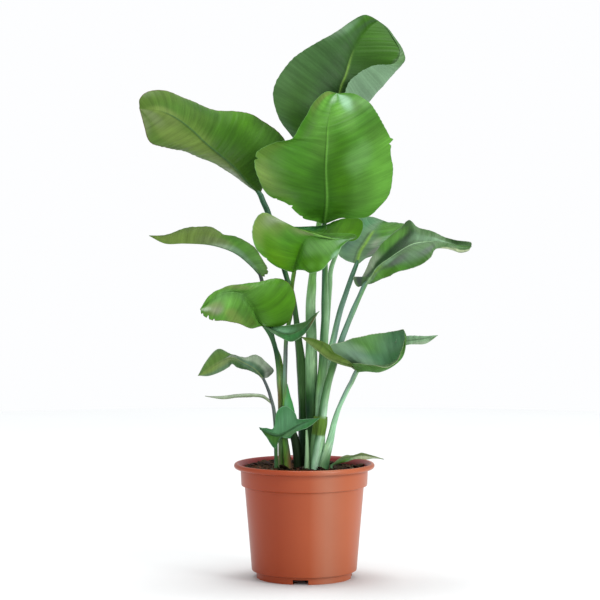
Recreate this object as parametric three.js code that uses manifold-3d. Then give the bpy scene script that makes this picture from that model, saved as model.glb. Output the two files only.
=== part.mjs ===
// A bird of paradise house plant in a round plastic nursery pot.
// Millimetres, +Z up, the front towards -Y, the origin on the floor under the middle of the plant.
import * as THREE from "three";
import { mergeVertices } from "three/addons/utils/BufferGeometryUtils.js";
import Module from "manifold-3d";

const wasm = await Module();
wasm.setup();

// Driving dimensions of the pot
const RIM_R = 120; // outside of the rolled lip
const POT_H = 196;
const LIP_H = 9;
const WALL = 2.1;
const COLLAR_TOP_R = 108.8; // the wider band under the lip
const COLLAR_FOOT_R = 107.6;
const STEP_Z = 157; // where the collar steps in to the body
const BODY_TOP_R = 101.6;
const BODY_FOOT_R = 89.8;
const FOOT_R = 81.6; // the narrower ring that the pot stands on
const FOOT_H = 12;
const FOOT_WALL = 4;
const FLOOR_T = 2.6;
const NOTCHES = 4;
const NOTCH_W = 26;
const NOTCH_H = 8;
const NOTCH_TURN = 0.077; // radians that the front notch sits left of the front
const DRAINS = 8;
const DRAIN_R = 5;
const DRAIN_RING_R = 52;
const POT_SIDES = 40;

// Driving dimensions of the soil
const GAP = 0.3; // clearance between pieces that touch
const SOIL_Z = 185;
const SOIL_RINGS = 4;
const MOUND = { x: -45, y: 55, height: 6, reach: 62 };
const LUMPS = [
  { height: 1.3, along: 0.075, across: 0.052, turn: 0.4 },
  { height: 0.9, along: -0.06, across: 0.095, turn: 1.9 },
];

// Driving dimensions of the leaves
const BLADE_T = 1.2;
const RIB_DEPTH = 2.6; // how far the midrib stands out under the blade at its foot
const NECK = 3; // half the blade's width where it meets its stalk
const TIP = 1;
const ROOTED_Z = 148; // how deep the stalks stand in the soil
const STALK_SIDES = 8;
const ACROSS = [0.07, 0.38, 0.7, 1]; // where a half blade is divided, from the midrib to the margin
const CREST_PLACE = 0.62; // where the crest of a rolled half lies, on the same scale

// Each leaf. rib runs along the midrib from the stalk to the tip, left and right along the margins as
// seen on the upper face, and crest along the crest of a half that rolls over. bow is how far each half
// bulges out of the upper face, and sweep how far its veins lean to the tip. rows is how many rows the
// blade is divided into, and lobes are folded parts that are joined to it. stalk is the stalk's path from
// the soil up, and thick its radii: one for each point of the path and one where it meets the blade.
const LEAVES = {
  top: {
    colour: 0x3f7a3a,
    rows: 16,
    rib: [[37, 40, 675], [51, 56, 765], [62, 72, 833], [72, 82, 861], [83, 98, 898], [96, 114, 924],
      [112, 134, 947], [130, 158, 962]],
    left: [[1, 16, 721], [-21, 17, 752], [-40, 19, 777], [-49, 23, 800], [-53, 28, 818], [-52, 34, 836],
      [-43, 44, 857], [-13, 66, 894], [45, 94, 931], [80, 116, 956], [103, 134, 969], [117, 147, 968]],
    crest: [[65, 62, 731], [91, 80, 783], [112, 84, 818], [142, 86, 849], [166, 94, 877], [174, 104, 892],
      [169, 118, 910], [157, 132, 930], [146, 146, 948]],
    right: [[54, 20, 729], [61, 0, 788], [70, 6, 829], [79, 14, 848], [100, 28, 864], [125, 48, 876],
      [155, 76, 880], [167, 110, 903], [156, 128, 928], [144, 144, 948]],
    bow: [6, 0],
    sweep: [0.05, 0],
    stalk: [[10, 10, 189], [12, 10, 234], [12, 10, 278], [12, 9, 306], [12, 8, 351], [12, 8, 378],
      [12, 7, 416], [11, 9, 443], [11, 12, 470], [13, 15, 497], [15, 18, 521], [25, 30, 601]],
    thick: [8.5, 8.5, 9.4, 10.2, 10.4, 10.2, 9, 8.9, 8.5, 7.5, 6.5, 5, 3.9],
  },
  centre: {
    colour: 0x4f9a32,
    rows: 16,
    rib: [[34, -28, 603], [38, -66, 644], [36, -78, 695], [38, -72, 737], [40, -58, 769], [47, -30, 805],
      [55, 0, 825]],
    left: [[17, -50, 608], [0, -74, 612], [-9, -88, 619], [-29, -100, 637], [-53, -108, 648],
      [-68, -112, 663], [-79, -112, 689], [-81, -108, 717], [-66, -104, 732], [-29, -98, 742],
      [-17, -92, 749], [3, -72, 783], [21, -44, 814], [38, -16, 827]],
    right: [[60, -54, 613], [84, -76, 613], [108, -92, 617], [128, -102, 635], [141, -108, 658],
      [146, -106, 688], [143, -98, 718], [143, -88, 743], [125, -62, 782], [107, -30, 810],
      [81, -4, 824]],
    bow: [-9, -9],
    sweep: [0, 0.05],
    stalk: [[25, -2, 191], [25, -2, 235], [25, -5, 280], [26, -5, 307], [29, -6, 335], [32, -9, 362],
      [33, -11, 389], [34, -13, 417], [35, -15, 444], [35, -17, 471], [35, -19, 498], [35, -22, 529],
      [34, -26, 573]],
    thick: [6.8, 6.6, 6.6, 7.1, 8, 8.3, 7.5, 7, 6.4, 6.3, 5.6, 5.1, 4.4, 3.9],
  },
  left_top: {
    colour: 0x5c9137,
    rows: 15,
    rib: [[-75, 8, 654], [-94, -4, 671], [-115, -16, 696], [-139, -28, 718], [-165, -42, 739],
      [-189, -56, 762], [-215, -70, 781], [-242, -82, 792], [-273, -88, 795]],
    left: [[-97, 14, 670], [-139, 14, 698], [-179, 4, 717], [-222, -18, 731], [-256, -40, 738],
      [-267, -66, 766]],
    right: [[-69, 24, 668], [-55, 40, 692], [-40, 52, 722], [-34, 58, 748], [-73, 58, 782],
      [-97, 50, 794], [-149, 26, 798], [-192, -8, 812], [-228, -44, 825], [-260, -70, 823],
      [-273, -82, 811]],
    bow: [5, 9],
    stalk: [[-2, 24, 187], [-1, 25, 232], [0, 27, 277], [-1, 26, 305], [-3, 25, 332], [-6, 25, 370],
      [-10, 23, 404], [-14, 22, 442], [-21, 19, 484], [-30, 17, 511], [-47, 14, 571], [-61, 12, 620],
      [-70, 10, 641]],
    thick: [8.7, 9.3, 9.8, 9.6, 9, 8.1, 6.4, 4.9, 4.8, 4.4, 4.6, 5, 5, 4.8],
  },
  left_mid: {
    colour: 0x6c8c46,
    rows: 14,
    rib: [[-75, -8, 515], [-90, -16, 532], [-112, -24, 551], [-135, -30, 562], [-164, -36, 569],
      [-202, -44, 571], [-233, -50, 571], [-260, -54, 584]],
    left: [[-82, 14, 525], [-102, 42, 546], [-135, 62, 567], [-172, 62, 579], [-207, 40, 581],
      [-235, -4, 578]],
    right: [[-65, -20, 515], [-61, -34, 529], [-76, -44, 553], [-91, -52, 570], [-114, -60, 583],
      [-134, -66, 587], [-147, -72, 594], [-160, -76, 599], [-185, -78, 599], [-205, -74, 595],
      [-234, -64, 585]],
    bow: [-4, -6],
    stalk: [[-11, 7, 190], [-14, 7, 224], [-17, 7, 238], [-24, 8, 261], [-32, 9, 285], [-36, 10, 302],
      [-37, 9, 328], [-39, 8, 354], [-43, 7, 375], [-48, 6, 388], [-52, 5, 402], [-60, 3, 440],
      [-69, -2, 491]],
    thick: [7.2, 7.2, 7, 5.5, 4.3, 4.1, 3.9, 3.9, 3.9, 3.8, 3.6, 3.4, 3.3, 3.2],
  },
  front: {
    colour: 0x6fa52c,
    rows: 14,
    rib: [[-17, -58, 522], [-10, -76, 547], [-2, -88, 571], [8, -94, 581], [29, -92, 581], [56, -84, 579],
      [83, -72, 580]],
    left: [[-32, -68, 526], [-47, -82, 533], [-63, -100, 546], [-78, -116, 561], [-85, -128, 581],
      [-84, -130, 602], [-72, -124, 621], [-53, -114, 618], [-23, -104, 600], [6, -100, 589],
      [36, -94, 581], [64, -82, 579]],
    right: [[-11, -62, 527], [0, -74, 525], [14, -84, 523], [28, -92, 527], [43, -96, 542],
      [54, -94, 555], [63, -88, 567], [73, -78, 575]],
    bow: [6, 6],
    stalk: [[-28, -8, 191], [-30, -9, 215], [-33, -10, 241], [-33, -12, 279], [-33, -13, 304],
      [-33, -14, 335], [-32, -17, 376], [-31, -19, 404], [-28, -23, 428], [-23, -29, 452],
      [-21, -42, 496]],
    thick: [6.8, 5.9, 4.8, 4.2, 3.9, 3.8, 3.7, 3.6, 3.6, 3.7, 3.6, 3.7],
  },
  behind: {
    colour: 0x2f8038,
    rows: 9,
    rib: [[62, -18, 573], [45, -42, 577], [23, -58, 585], [-2, -68, 594], [-29, -76, 599]],
    left: [[87, -24, 580], [82, -40, 587], [56, -60, 588], [30, -70, 589], [3, -76, 594]],
    right: [[88, 2, 576], [99, 22, 590], [100, 36, 607], [87, 36, 615], [68, 16, 613], [50, -20, 608],
      [35, -50, 601], [4, -64, 600]],
    bow: [-4, -4],
    stalk: [[31, 14, 189], [32, 11, 268], [35, 8, 337], [37, 6, 405], [40, 4, 443], [42, 2, 471],
      [44, 0, 498], [46, -3, 529]],
    thick: [4.3, 4.3, 4.3, 4.1, 3.8, 3.6, 3.7, 4, 3],
  },
  right_back: {
    colour: 0x5d8a6a,
    rows: 11,
    rib: [[90, 30, 535], [96, 40, 555], [106, 50, 570], [117, 62, 587], [128, 80, 599], [138, 104, 609]],
    left: [[69, 20, 542], [58, 16, 552], [63, 24, 576], [75, 44, 600], [89, 64, 612], [107, 86, 616],
      [124, 102, 614]],
    right: [[94, 34, 535], [106, 40, 545], [118, 46, 548], [131, 52, 557], [160, 62, 581], [181, 86, 602],
      [164, 106, 605], [148, 112, 606]],
    bow: [-6, -6],
    sweep: [0.04, 0.04],
    stalk: [[20, 28, 187], [25, 27, 267], [32, 27, 318], [42, 27, 377], [49, 27, 401], [55, 27, 428],
      [62, 27, 456], [71, 28, 483], [80, 29, 509], [86, 30, 525]],
    thick: [6.5, 6, 5.8, 5.6, 5.5, 5.1, 4.8, 4.6, 4.2, 3.9, 3.7],
  },
  right: {
    colour: 0x4e8150,
    rows: 16,
    rib: [[102, -30, 501], [111, -38, 511], [122, -46, 530], [143, -54, 546], [163, -60, 560],
      [185, -64, 571], [218, -66, 574], [246, -76, 570], [261, -90, 567], [276, -100, 566]],
    left: [[91, -24, 497], [85, -22, 504], [83, -20, 514], [88, -16, 511], [94, -12, 509], [99, -6, 515],
      [104, 2, 525], [108, 10, 536], [112, 18, 546], [125, 28, 559], [139, 36, 574], [155, 39, 590],
      [170, 34, 600], [181, 20, 609], [192, 0, 599], [215, -24, 592], [238, -46, 581], [255, -74, 577],
      [269, -94, 575], [276, -99, 573]],
    right: [[115, -46, 504], [132, -92, 514], [152, -126, 523], [171, -148, 532], [191, -157, 538],
      [205, -152, 549], [215, -128, 562], [231, -98, 563], [245, -96, 560], [258, -98, 556],
      [271, -100, 559]],
    bow: [-6, 6],
    stalk: [[17, -16, 192], [22, -18, 227], [27, -20, 254], [31, -23, 282], [35, -23, 309],
      [41, -23, 336], [49, -24, 363], [62, -24, 404], [72, -25, 431], [83, -27, 458], [94, -29, 483]],
    thick: [5.9, 5.9, 6.4, 7.3, 6.8, 6.1, 5.9, 5.1, 4.8, 4.6, 4.2, 4.1],
  },
  left_low: {
    colour: 0x5b9a3c,
    rows: 14,
    rib: [[-68, -24, 431], [-80, -36, 443], [-87, -54, 463], [-97, -66, 477], [-110, -78, 490],
      [-133, -92, 489], [-156, -102, 476], [-172, -106, 463]],
    left: [[-78, -36, 430], [-89, -54, 428], [-108, -78, 437], [-130, -98, 443], [-152, -110, 445],
      [-169, -110, 454]],
    right: [[-54, -32, 430], [-39, -40, 432], [-26, -46, 441], [-18, -50, 458], [-14, -52, 474],
      [-18, -54, 492], [-29, -56, 507], [-49, -58, 513], [-81, -64, 505], [-107, -74, 503],
      [-140, -90, 496], [-159, -100, 483]],
    bow: [6, 9],
    stalk: [[-40, 1, 190], [-40, -2, 252], [-41, -6, 307], [-43, -9, 335], [-44, -11, 359],
      [-47, -15, 383], [-52, -18, 403], [-58, -21, 417]],
    thick: [4.6, 4.3, 4.2, 4.1, 4.1, 4.1, 4.1, 3.9, 3.7],
    lobes: [
      {
        rows: 9,
        rib: [[-70, -25, 433], [-49, -42, 423], [-27, -50, 419], [-4, -54, 427], [13, -58, 443],
          [25, -60, 458]],
        left: [[-54, -32, 431], [-27, -34, 433], [0, -40, 439], [15, -50, 451]],
        right: [[-58, -48, 424], [-41, -62, 414], [-22, -70, 407], [-5, -70, 415], [10, -66, 431]],
        bow: [-3, 3],
      },
    ],
  },
  right_low: {
    colour: 0x5b8f63,
    rows: 12,
    rib: [[89, -19, 353], [104, -42, 356], [124, -56, 356], [145, -64, 365], [162, -62, 379],
      [169, -52, 395], [170, -36, 411]],
    left: [[65, -34, 372], [47, -38, 388], [45, -38, 400], [64, -34, 404], [82, -16, 410], [112, 14, 414],
      [140, 26, 417], [158, 12, 421], [168, -14, 424]],
    right: [[80, -42, 370], [105, -66, 368], [126, -80, 366], [143, -80, 367], [158, -74, 380]],
    bow: [-8, 4],
    stalk: [[34, -17, 192], [40, -16, 220], [45, -15, 240], [51, -14, 267], [60, -15, 294],
      [73, -16, 322], [80, -17, 335], [85, -18, 346]],
    thick: [8.1, 7.3, 5.9, 4.8, 3.9, 4, 4.2, 4.4, 4.2],
    lobes: [
      {
        rows: 8,
        rib: [[82, -28, 363], [60, -52, 370], [40, -60, 379], [20, -62, 394], [-5, -62, 415]],
        left: [[77, -56, 372], [60, -70, 383], [43, -74, 393], [26, -70, 408]],
        right: [[66, -35, 373], [49, -39, 389], [42, -40, 400], [18, -54, 411]],
        bow: [3, -3],
      },
      {
        rows: 6,
        rib: [[154, -2, 401], [180, -6, 404], [203, -14, 408], [226, -22, 415]],
        left: [[160, 6, 411], [180, 4, 413], [203, -8, 413]],
        right: [[158, -8, 394], [179, -14, 399], [203, -20, 400], [216, -22, 407]],
        bow: [2, 2],
      },
    ],
  },
  left_small: {
    colour: 0x56805c,
    rows: 12,
    rib: [[-69, -6, 340], [-85, -18, 358], [-104, -32, 370], [-122, -44, 379], [-140, -56, 374],
      [-160, -64, 361], [-178, -68, 350]],
    left: [[-78, -18, 347], [-95, -36, 357], [-111, -50, 362], [-121, -52, 368], [-127, -50, 363],
      [-141, -54, 355], [-160, -62, 349]],
    right: [[-60, 4, 343], [-52, 16, 353], [-65, 20, 366], [-83, 14, 379], [-101, -4, 376],
      [-116, -26, 380], [-128, -48, 388], [-141, -64, 395], [-152, -72, 390], [-166, -72, 372]],
    bow: [-2, 3],
    stalk: [[-48, -9, 191], [-49, -12, 253], [-51, -13, 281], [-53, -13, 294], [-57, -12, 308],
      [-61, -11, 321]],
    thick: [3.4, 3.2, 3.1, 3, 2.9, 2.7, 2.5],
  },
  left_dry: {
    colour: 0x8a9168,
    rows: 9,
    rib: [[-56, -13, 298], [-68, -22, 310], [-88, -36, 314], [-113, -50, 314], [-138, -62, 312],
      [-166, -72, 316]],
    left: [[-71, -20, 308], [-91, -33, 311], [-113, -47, 311], [-138, -60, 310]],
    right: [[-68, -25, 314], [-91, -39, 318], [-114, -53, 318], [-138, -65, 316]],
    bow: [1, 1],
  },
  low_right: {
    colour: 0x5f8f4a,
    rows: 9,
    rib: [[46, -25, 194], [62, -26, 203], [81, -28, 208], [97, -38, 212], [116, -46, 211],
      [134, -52, 208]],
    left: [[57, -18, 204], [71, -18, 211], [84, -22, 211], [98, -32, 216], [114, -44, 214]],
    right: [[57, -22, 196], [72, -32, 201], [87, -42, 207], [104, -48, 207], [117, -50, 209]],
    bow: [2, 2],
    stalk: [[46, -26, 185]],
    thick: [2.6, 2.4],
  },
};

// Sheaths: the clasping foot of a leaf, round a stalk or standing by itself
const SHEATHS = {
  left: {
    colour: 0x4f9a5c,
    path: [[-33, -11, 241], [-26, -12, 274], [-27, -12, 294], [-29, -12, 308], [-30, -12, 321],
      [-31, -12, 332]],
    thick: [10.2, 10.5, 8.5, 6.3, 4.1, 2.5],
    blade: {
      rows: 11,
      rib: [[-76, -40, 260], [-61, -30, 251], [-46, -22, 246], [-31, -25, 251], [-12, -38, 263],
        [6, -52, 272], [26, -60, 278]],
      left: [[-64, -26, 242], [-50, -14, 222], [-41, -22, 241], [-29, -30, 242], [-12, -46, 254],
        [8, -58, 263]],
      right: [[-65, -34, 259], [-51, -22, 258], [-47, -16, 284], [-33, -19, 295], [-17, -24, 285],
        [-12, -34, 274], [6, -50, 276]],
      bow: [2, 2],
    },
  },
  right: {
    colour: 0x8fae7a,
    path: [[20, -8, 150], [20, -8, 191], [21, -9, 215], [23, -10, 239], [27, -10, 263], [28, -10, 276]],
    thick: [9.3, 9.3, 11, 11.9, 12.1, 11.5],
  },
  pale: {
    colour: 0x9fc08e,
    path: [[5, -9, 150], [5, -9, 191], [5, -9, 226], [4, -8, 253]],
    thick: [4.8, 4.8, 3.4, 2],
  },
};

const vector = (p) => new THREE.Vector3(p[0], p[1], p[2]);

// A smooth curve through the points
function curveThrough(points) {
  const curve = new THREE.CatmullRomCurve3(points.map(vector), false, "catmullrom", 0.5);
  curve.arcLengthDivisions = 240;
  return curve;
}

// A value read between the points of a list, at a fraction of the way through it
function valueAt(list, fraction) {
  const place = fraction * (list.length - 1);
  const i = Math.min(Math.floor(place), list.length - 2);
  return list[i] + (list[i + 1] - list[i]) * (place - i);
}

// The solid of a geometry with its double vertices merged
function solidOf(geometry) {
  const bare = geometry.clone();
  bare.deleteAttribute("normal");
  bare.deleteAttribute("uv");
  const merged = mergeVertices(bare, 1e-4);
  return new wasm.Manifold(
    new wasm.Mesh({
      numProp: 3,
      vertProperties: new Float32Array(merged.attributes.position.array),
      triVerts: new Uint32Array(merged.index.array),
    }),
  );
}

// The largest body of a solid, as a geometry
function geometryOf(solid) {
  const bodies = solid.decompose().sort((a, b) => b.volume() - a.volume());
  const mesh = bodies[0].getMesh();
  const geometry = new THREE.BufferGeometry();
  geometry.setAttribute("position", new THREE.BufferAttribute(mesh.vertProperties, 3));
  geometry.setIndex(new THREE.BufferAttribute(mesh.triVerts, 1));
  geometry.computeVertexNormals();
  return geometry;
}

function namedMesh(name, geometry, colour, roughness) {
  const material = new THREE.MeshStandardMaterial({ color: colour, roughness, metalness: 0 });
  const mesh = new THREE.Mesh(geometry, material);
  mesh.name = name;
  return mesh;
}

// The margin of a half blade: from the neck beside the stalk, through its points, to the tip
function marginCurve(points, rib) {
  const foot = vector(rib[0]);
  const tip = vector(rib[rib.length - 1]);
  const start = vector(points[0]).sub(foot).setLength(NECK).add(foot);
  const end = vector(points[points.length - 1]).sub(tip).setLength(TIP).add(tip);
  return curveThrough([start.toArray(), ...points, end.toArray()]);
}

// The middle surface of a blade: rows of points from the left margin over the midrib to the right one.
// Each half is an arc of the second degree from the midrib to the margin. It bulges by its bow, or passes
// through the crest of its roll.
function bladeRows(leaf) {
  const ribCurve = curveThrough(leaf.rib);
  const [sweepLeft, sweepRight] = leaf.sweep ?? [0, 0];
  const halves = [
    { side: -1, bow: leaf.bow[0], sweep: sweepLeft, margin: marginCurve(leaf.left, leaf.rib) },
    { side: 1, bow: leaf.bow[1], sweep: sweepRight, margin: marginCurve(leaf.right, leaf.rib) },
  ];
  if (leaf.crest) halves[1].crest = marginCurve(leaf.crest, leaf.rib);
  const rows = [];
  for (let i = 0; i <= leaf.rows; i += 1) {
    const t = i / leaf.rows;
    const foot = ribCurve.getPointAt(t);
    const along = ribCurve.getTangentAt(t);
    const row = [foot];
    for (const half of halves) {
      const at = Math.min(1, t + half.sweep * Math.sin(Math.PI * t));
      const edge = half.margin.getPointAt(at);
      const middle = new THREE.Vector3();
      if (half.crest) {
        const k = CREST_PLACE;
        middle.copy(half.crest.getPointAt(at)).addScaledVector(foot, -((1 - k) ** 2));
        middle.addScaledVector(edge, -k * k).divideScalar(2 * k * (1 - k));
      } else {
        const out = edge.clone().sub(foot).cross(along).setLength(half.side);
        const bulge = 2 * half.bow * Math.max(0, Math.sin(Math.PI * t)) ** 0.6;
        middle.addVectors(foot, edge).multiplyScalar(0.5).addScaledVector(out, bulge);
      }
      for (const s of ACROSS) {
        const p = foot.clone().multiplyScalar((1 - s) ** 2);
        p.addScaledVector(middle, 2 * s * (1 - s)).addScaledVector(edge, s * s);
        if (half.side < 0) row.unshift(p);
        else row.push(p);
      }
    }
    rows.push(row);
  }
  return rows;
}

// A thin closed sheet on the rows: both faces stand half the thickness off the middle surface, and
// are divided alike. Along the midrib the lower face stands out as a keel that thins to the tip.
function bladeSolid(leaf) {
  const rows = bladeRows(leaf);
  const last = rows.length - 1;
  const width = rows[0].length;
  const middle = (width - 1) / 2;
  const positions = [];
  for (const face of [1, -1]) {
    rows.forEach((row, i) => {
      row.forEach((p, j) => {
        const along = rows[Math.min(i + 1, last)][j].clone().sub(rows[Math.max(i - 1, 0)][j]);
        const across = row[Math.min(j + 1, width - 1)].clone().sub(row[Math.max(j - 1, 0)]);
        const out = across.cross(along).normalize();
        const keel = face < 0 && j === middle ? RIB_DEPTH * (1 - (0.8 * i) / last) : 0;
        const q = p.clone().addScaledVector(out, face * (BLADE_T / 2 + keel));
        positions.push(q.x, q.y, q.z);
      });
    });
  }
  const count = rows.length * width;
  const upper = (i, j) => i * width + j;
  const lower = (i, j) => count + i * width + j;
  const faces = [];
  const quad = (a, b, c, d) => faces.push(a, b, c, a, c, d);
  for (let i = 0; i < last; i += 1) {
    for (let j = 0; j < width - 1; j += 1) {
      quad(upper(i, j), upper(i, j + 1), upper(i + 1, j + 1), upper(i + 1, j));
      faces.push(lower(i, j), lower(i + 1, j + 1), lower(i, j + 1));
      faces.push(lower(i, j), lower(i + 1, j), lower(i + 1, j + 1));
    }
    quad(upper(i, 0), upper(i + 1, 0), lower(i + 1, 0), lower(i, 0));
    const edge = width - 1;
    quad(upper(i, edge), lower(i, edge), lower(i + 1, edge), upper(i + 1, edge));
  }
  for (let j = 0; j < width - 1; j += 1) {
    quad(upper(0, j), lower(0, j), lower(0, j + 1), upper(0, j + 1));
    quad(upper(last, j), upper(last, j + 1), lower(last, j + 1), lower(last, j));
  }
  const geometry = new THREE.BufferGeometry();
  geometry.setAttribute("position", new THREE.Float32BufferAttribute(positions, 3));
  geometry.setIndex(faces);
  return solidOf(geometry);
}

// A closed round bar along a path, with a radius for each point of the path
function barSolid(path, radii, extra, steps, sides) {
  const curve = curveThrough(path);
  const positions = [];
  const faces = [];
  const front = new THREE.Vector3(0, -1, 0);
  for (let i = 0; i <= steps; i += 1) {
    const t = i / steps;
    const centre = curve.getPointAt(t);
    const along = curve.getTangentAt(t);
    const aside = front.clone().cross(along).normalize();
    const facing = along.clone().cross(aside);
    const radius = valueAt(radii, curve.getUtoTmapping(t)) + extra;
    for (let j = 0; j < sides; j += 1) {
      const a = (2 * Math.PI * j) / sides;
      const p = centre.clone().addScaledVector(aside, radius * Math.cos(a));
      p.addScaledVector(facing, radius * Math.sin(a));
      positions.push(p.x, p.y, p.z);
    }
  }
  for (let i = 0; i < steps; i += 1) {
    for (let j = 0; j < sides; j += 1) {
      const a = i * sides + j;
      const b = i * sides + ((j + 1) % sides);
      faces.push(a, b, b + sides, a, b + sides, a + sides);
    }
  }
  for (let j = 1; j < sides - 1; j += 1) {
    const end = steps * sides;
    faces.push(0, j + 1, j, end, end + j, end + j + 1);
  }
  const geometry = new THREE.BufferGeometry();
  geometry.setAttribute("position", new THREE.Float32BufferAttribute(positions, 3));
  geometry.setIndex(faces);
  return solidOf(geometry);
}

// The path of a leaf's stalk: straight down into the soil, and up to just short of its blade
function stalkPath(leaf) {
  const foot = leaf.stalk[0];
  const top = vector(leaf.rib[0]);
  const before = vector(leaf.stalk[leaf.stalk.length - 1]);
  const end = before.sub(top).setLength(GAP + 0.1).add(top);
  return [[foot[0], foot[1], ROOTED_Z], ...leaf.stalk, end.toArray()];
}

// The stalk's radii, with the rooted stretch as thick as the foot
const stalkRadii = (leaf) => [leaf.thick[0], ...leaf.thick];

function stalkSolid(leaf, extra) {
  const path = stalkPath(leaf);
  const steps = Math.max(3, path.length + 1);
  return barSolid(path, stalkRadii(leaf), extra, steps, STALK_SIDES);
}

// The pot's section, from the axis out under the floor, up the outside, over the lip and down inside
function potProfile() {
  const lipMiddle = POT_H - LIP_H / 2;
  const floorZ = FOOT_H - FLOOR_T;
  const outside = [
    [0, floorZ],
    [FOOT_R - FOOT_WALL, floorZ],
    [FOOT_R - FOOT_WALL + 0.6, 0],
    [FOOT_R - 0.6, 0],
    [FOOT_R, 0.6],
    [FOOT_R + 0.6, FOOT_H - 2],
    [FOOT_R + 2.4, FOOT_H],
    [BODY_FOOT_R - 2, FOOT_H + 0.6],
    [BODY_FOOT_R, FOOT_H + 2.4],
    [BODY_TOP_R, STEP_Z - 2.4],
    [BODY_TOP_R + 1, STEP_Z - 0.4],
    [COLLAR_FOOT_R - 1.6, STEP_Z + 0.8],
    [COLLAR_FOOT_R, STEP_Z + 2.8],
    [COLLAR_TOP_R, POT_H - LIP_H - 0.6],
    [COLLAR_TOP_R + 1, POT_H - LIP_H],
  ];
  const lip = [];
  const lipArc = 4;
  for (let i = 0; i <= lipArc; i += 1) {
    const a = -Math.PI / 2 + (Math.PI * i) / lipArc;
    lip.push([RIM_R - LIP_H / 2 + (LIP_H / 2) * Math.cos(a), lipMiddle + (LIP_H / 2) * Math.sin(a)]);
  }
  const inside = [
    [RIM_R - LIP_H + 2, POT_H - 0.6],
    [COLLAR_TOP_R - WALL + 2, POT_H - LIP_H / 2],
    [COLLAR_TOP_R - WALL, POT_H - LIP_H],
    [COLLAR_FOOT_R - WALL, STEP_Z + 3.4],
    [BODY_TOP_R - WALL, STEP_Z + 0.6],
    [BODY_FOOT_R - WALL, FOOT_H + 3],
    [BODY_FOOT_R - WALL - 2.4, FOOT_H],
    [0, FOOT_H],
  ];
  return [...outside, ...lip, ...inside].map(([r, z]) => new THREE.Vector2(r, z));
}

// A lathe turned about +Z
function turned(profile, sides) {
  return new THREE.LatheGeometry(profile, sides).rotateX(Math.PI / 2);
}

function potSolid() {
  let pot = solidOf(turned(potProfile(), POT_SIDES));
  for (let i = 0; i < NOTCHES; i += 1) {
    const notch = new THREE.BoxGeometry(NOTCH_W, 3 * FOOT_WALL, 2 * NOTCH_H);
    notch.translate(0, -(FOOT_R - FOOT_WALL / 2), 0);
    notch.rotateZ((i * 2 * Math.PI) / NOTCHES - NOTCH_TURN);
    pot = pot.subtract(solidOf(notch));
  }
  for (let i = 0; i < DRAINS; i += 1) {
    const drain = new THREE.CylinderGeometry(DRAIN_R, DRAIN_R, 4 * FLOOR_T, 12).rotateX(Math.PI / 2);
    const a = (i * 2 * Math.PI) / DRAINS;
    drain.translate(DRAIN_RING_R * Math.cos(a), DRAIN_RING_R * Math.sin(a), FOOT_H);
    pot = pot.subtract(solidOf(drain));
  }
  return pot;
}

// How high the soil lies at a place: level, with one broad mound and small lumps
function soilHeight(x, y) {
  const off = ((x - MOUND.x) ** 2 + (y - MOUND.y) ** 2) / MOUND.reach ** 2;
  let z = SOIL_Z + MOUND.height * Math.exp(-off);
  for (const lump of LUMPS) z += lump.height * Math.sin(lump.along * x + lump.across * y + lump.turn);
  return z;
}

// The soil fills the pot, its top in rings that follow soilHeight
function soilSolid() {
  const clear = WALL + 1.2 * GAP;
  const rimR = COLLAR_TOP_R - clear - 0.4;
  const profile = [
    [0, FOOT_H + GAP],
    [BODY_FOOT_R - clear - 2.6, FOOT_H + GAP],
    [BODY_FOOT_R - clear, FOOT_H + 3.4],
    [BODY_TOP_R - clear, STEP_Z + 1],
    [COLLAR_FOOT_R - clear, STEP_Z + 4],
  ].map(([r, z]) => new THREE.Vector2(r, z));
  for (let i = 0; i <= SOIL_RINGS; i += 1) {
    profile.push(new THREE.Vector2(rimR * (1 - i / SOIL_RINGS), SOIL_Z));
  }
  const body = turned(profile, POT_SIDES);
  const p = body.attributes.position;
  for (let i = 0; i < p.count; i += 1) {
    if (p.getZ(i) > SOIL_Z - 1) p.setZ(i, soilHeight(p.getX(i), p.getY(i)));
  }
  return solidOf(body);
}

const plant = new THREE.Group();
const rooted = Object.values(LEAVES).filter((leaf) => leaf.stalk);
const holes = rooted.map((leaf) => stalkSolid(leaf, GAP));
const sheathBars = Object.values(SHEATHS).map((s) => barSolid(s.path, s.thick, GAP, 6, STALK_SIDES));
const bars = [...holes, ...sheathBars];

plant.add(namedMesh("pot", geometryOf(potSolid()), 0xb9603f, 0.45));

// Soil, with a plain hole for each stalk and sheath that stands in it
let soil = soilSolid();
for (const bar of bars) soil = soil.subtract(bar);
plant.add(namedMesh("soil", geometryOf(soil), 0x3a2a20, 1));

// Leaves: a stalk, and a blade that stays clear of every stalk and of the sheaths
for (const [name, leaf] of Object.entries(LEAVES)) {
  let blade = bladeSolid(leaf);
  for (const lobe of leaf.lobes ?? []) blade = blade.add(bladeSolid(lobe));
  for (const bar of bars) blade = blade.subtract(bar);
  plant.add(namedMesh("blade_" + name, geometryOf(blade), leaf.colour, 0.4));
  if (leaf.stalk) plant.add(namedMesh("stalk_" + name, geometryOf(stalkSolid(leaf, 0)), 0x4d8055, 0.5));
}

// Sheaths, open round the stalk that they clasp
for (const [name, sheath] of Object.entries(SHEATHS)) {
  let body = barSolid(sheath.path, sheath.thick, 0, 6, STALK_SIDES);
  if (sheath.blade) body = body.add(bladeSolid(sheath.blade));
  for (const hole of holes) body = body.subtract(hole);
  plant.add(namedMesh("sheath_" + name, geometryOf(body), sheath.colour, 0.5));
}

export default plant;
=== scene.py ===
"""A bird of paradise house plant in a terracotta coloured nursery pot.

Metres, +Z up, the front towards -Y. The leaves are surfaces carried by three curves each, the midrib and the
two margins; the stalks are bars carried along a path; the pot is a turned profile. The points of the plant
are given in millimetres, as it was measured.
"""
import math

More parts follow.
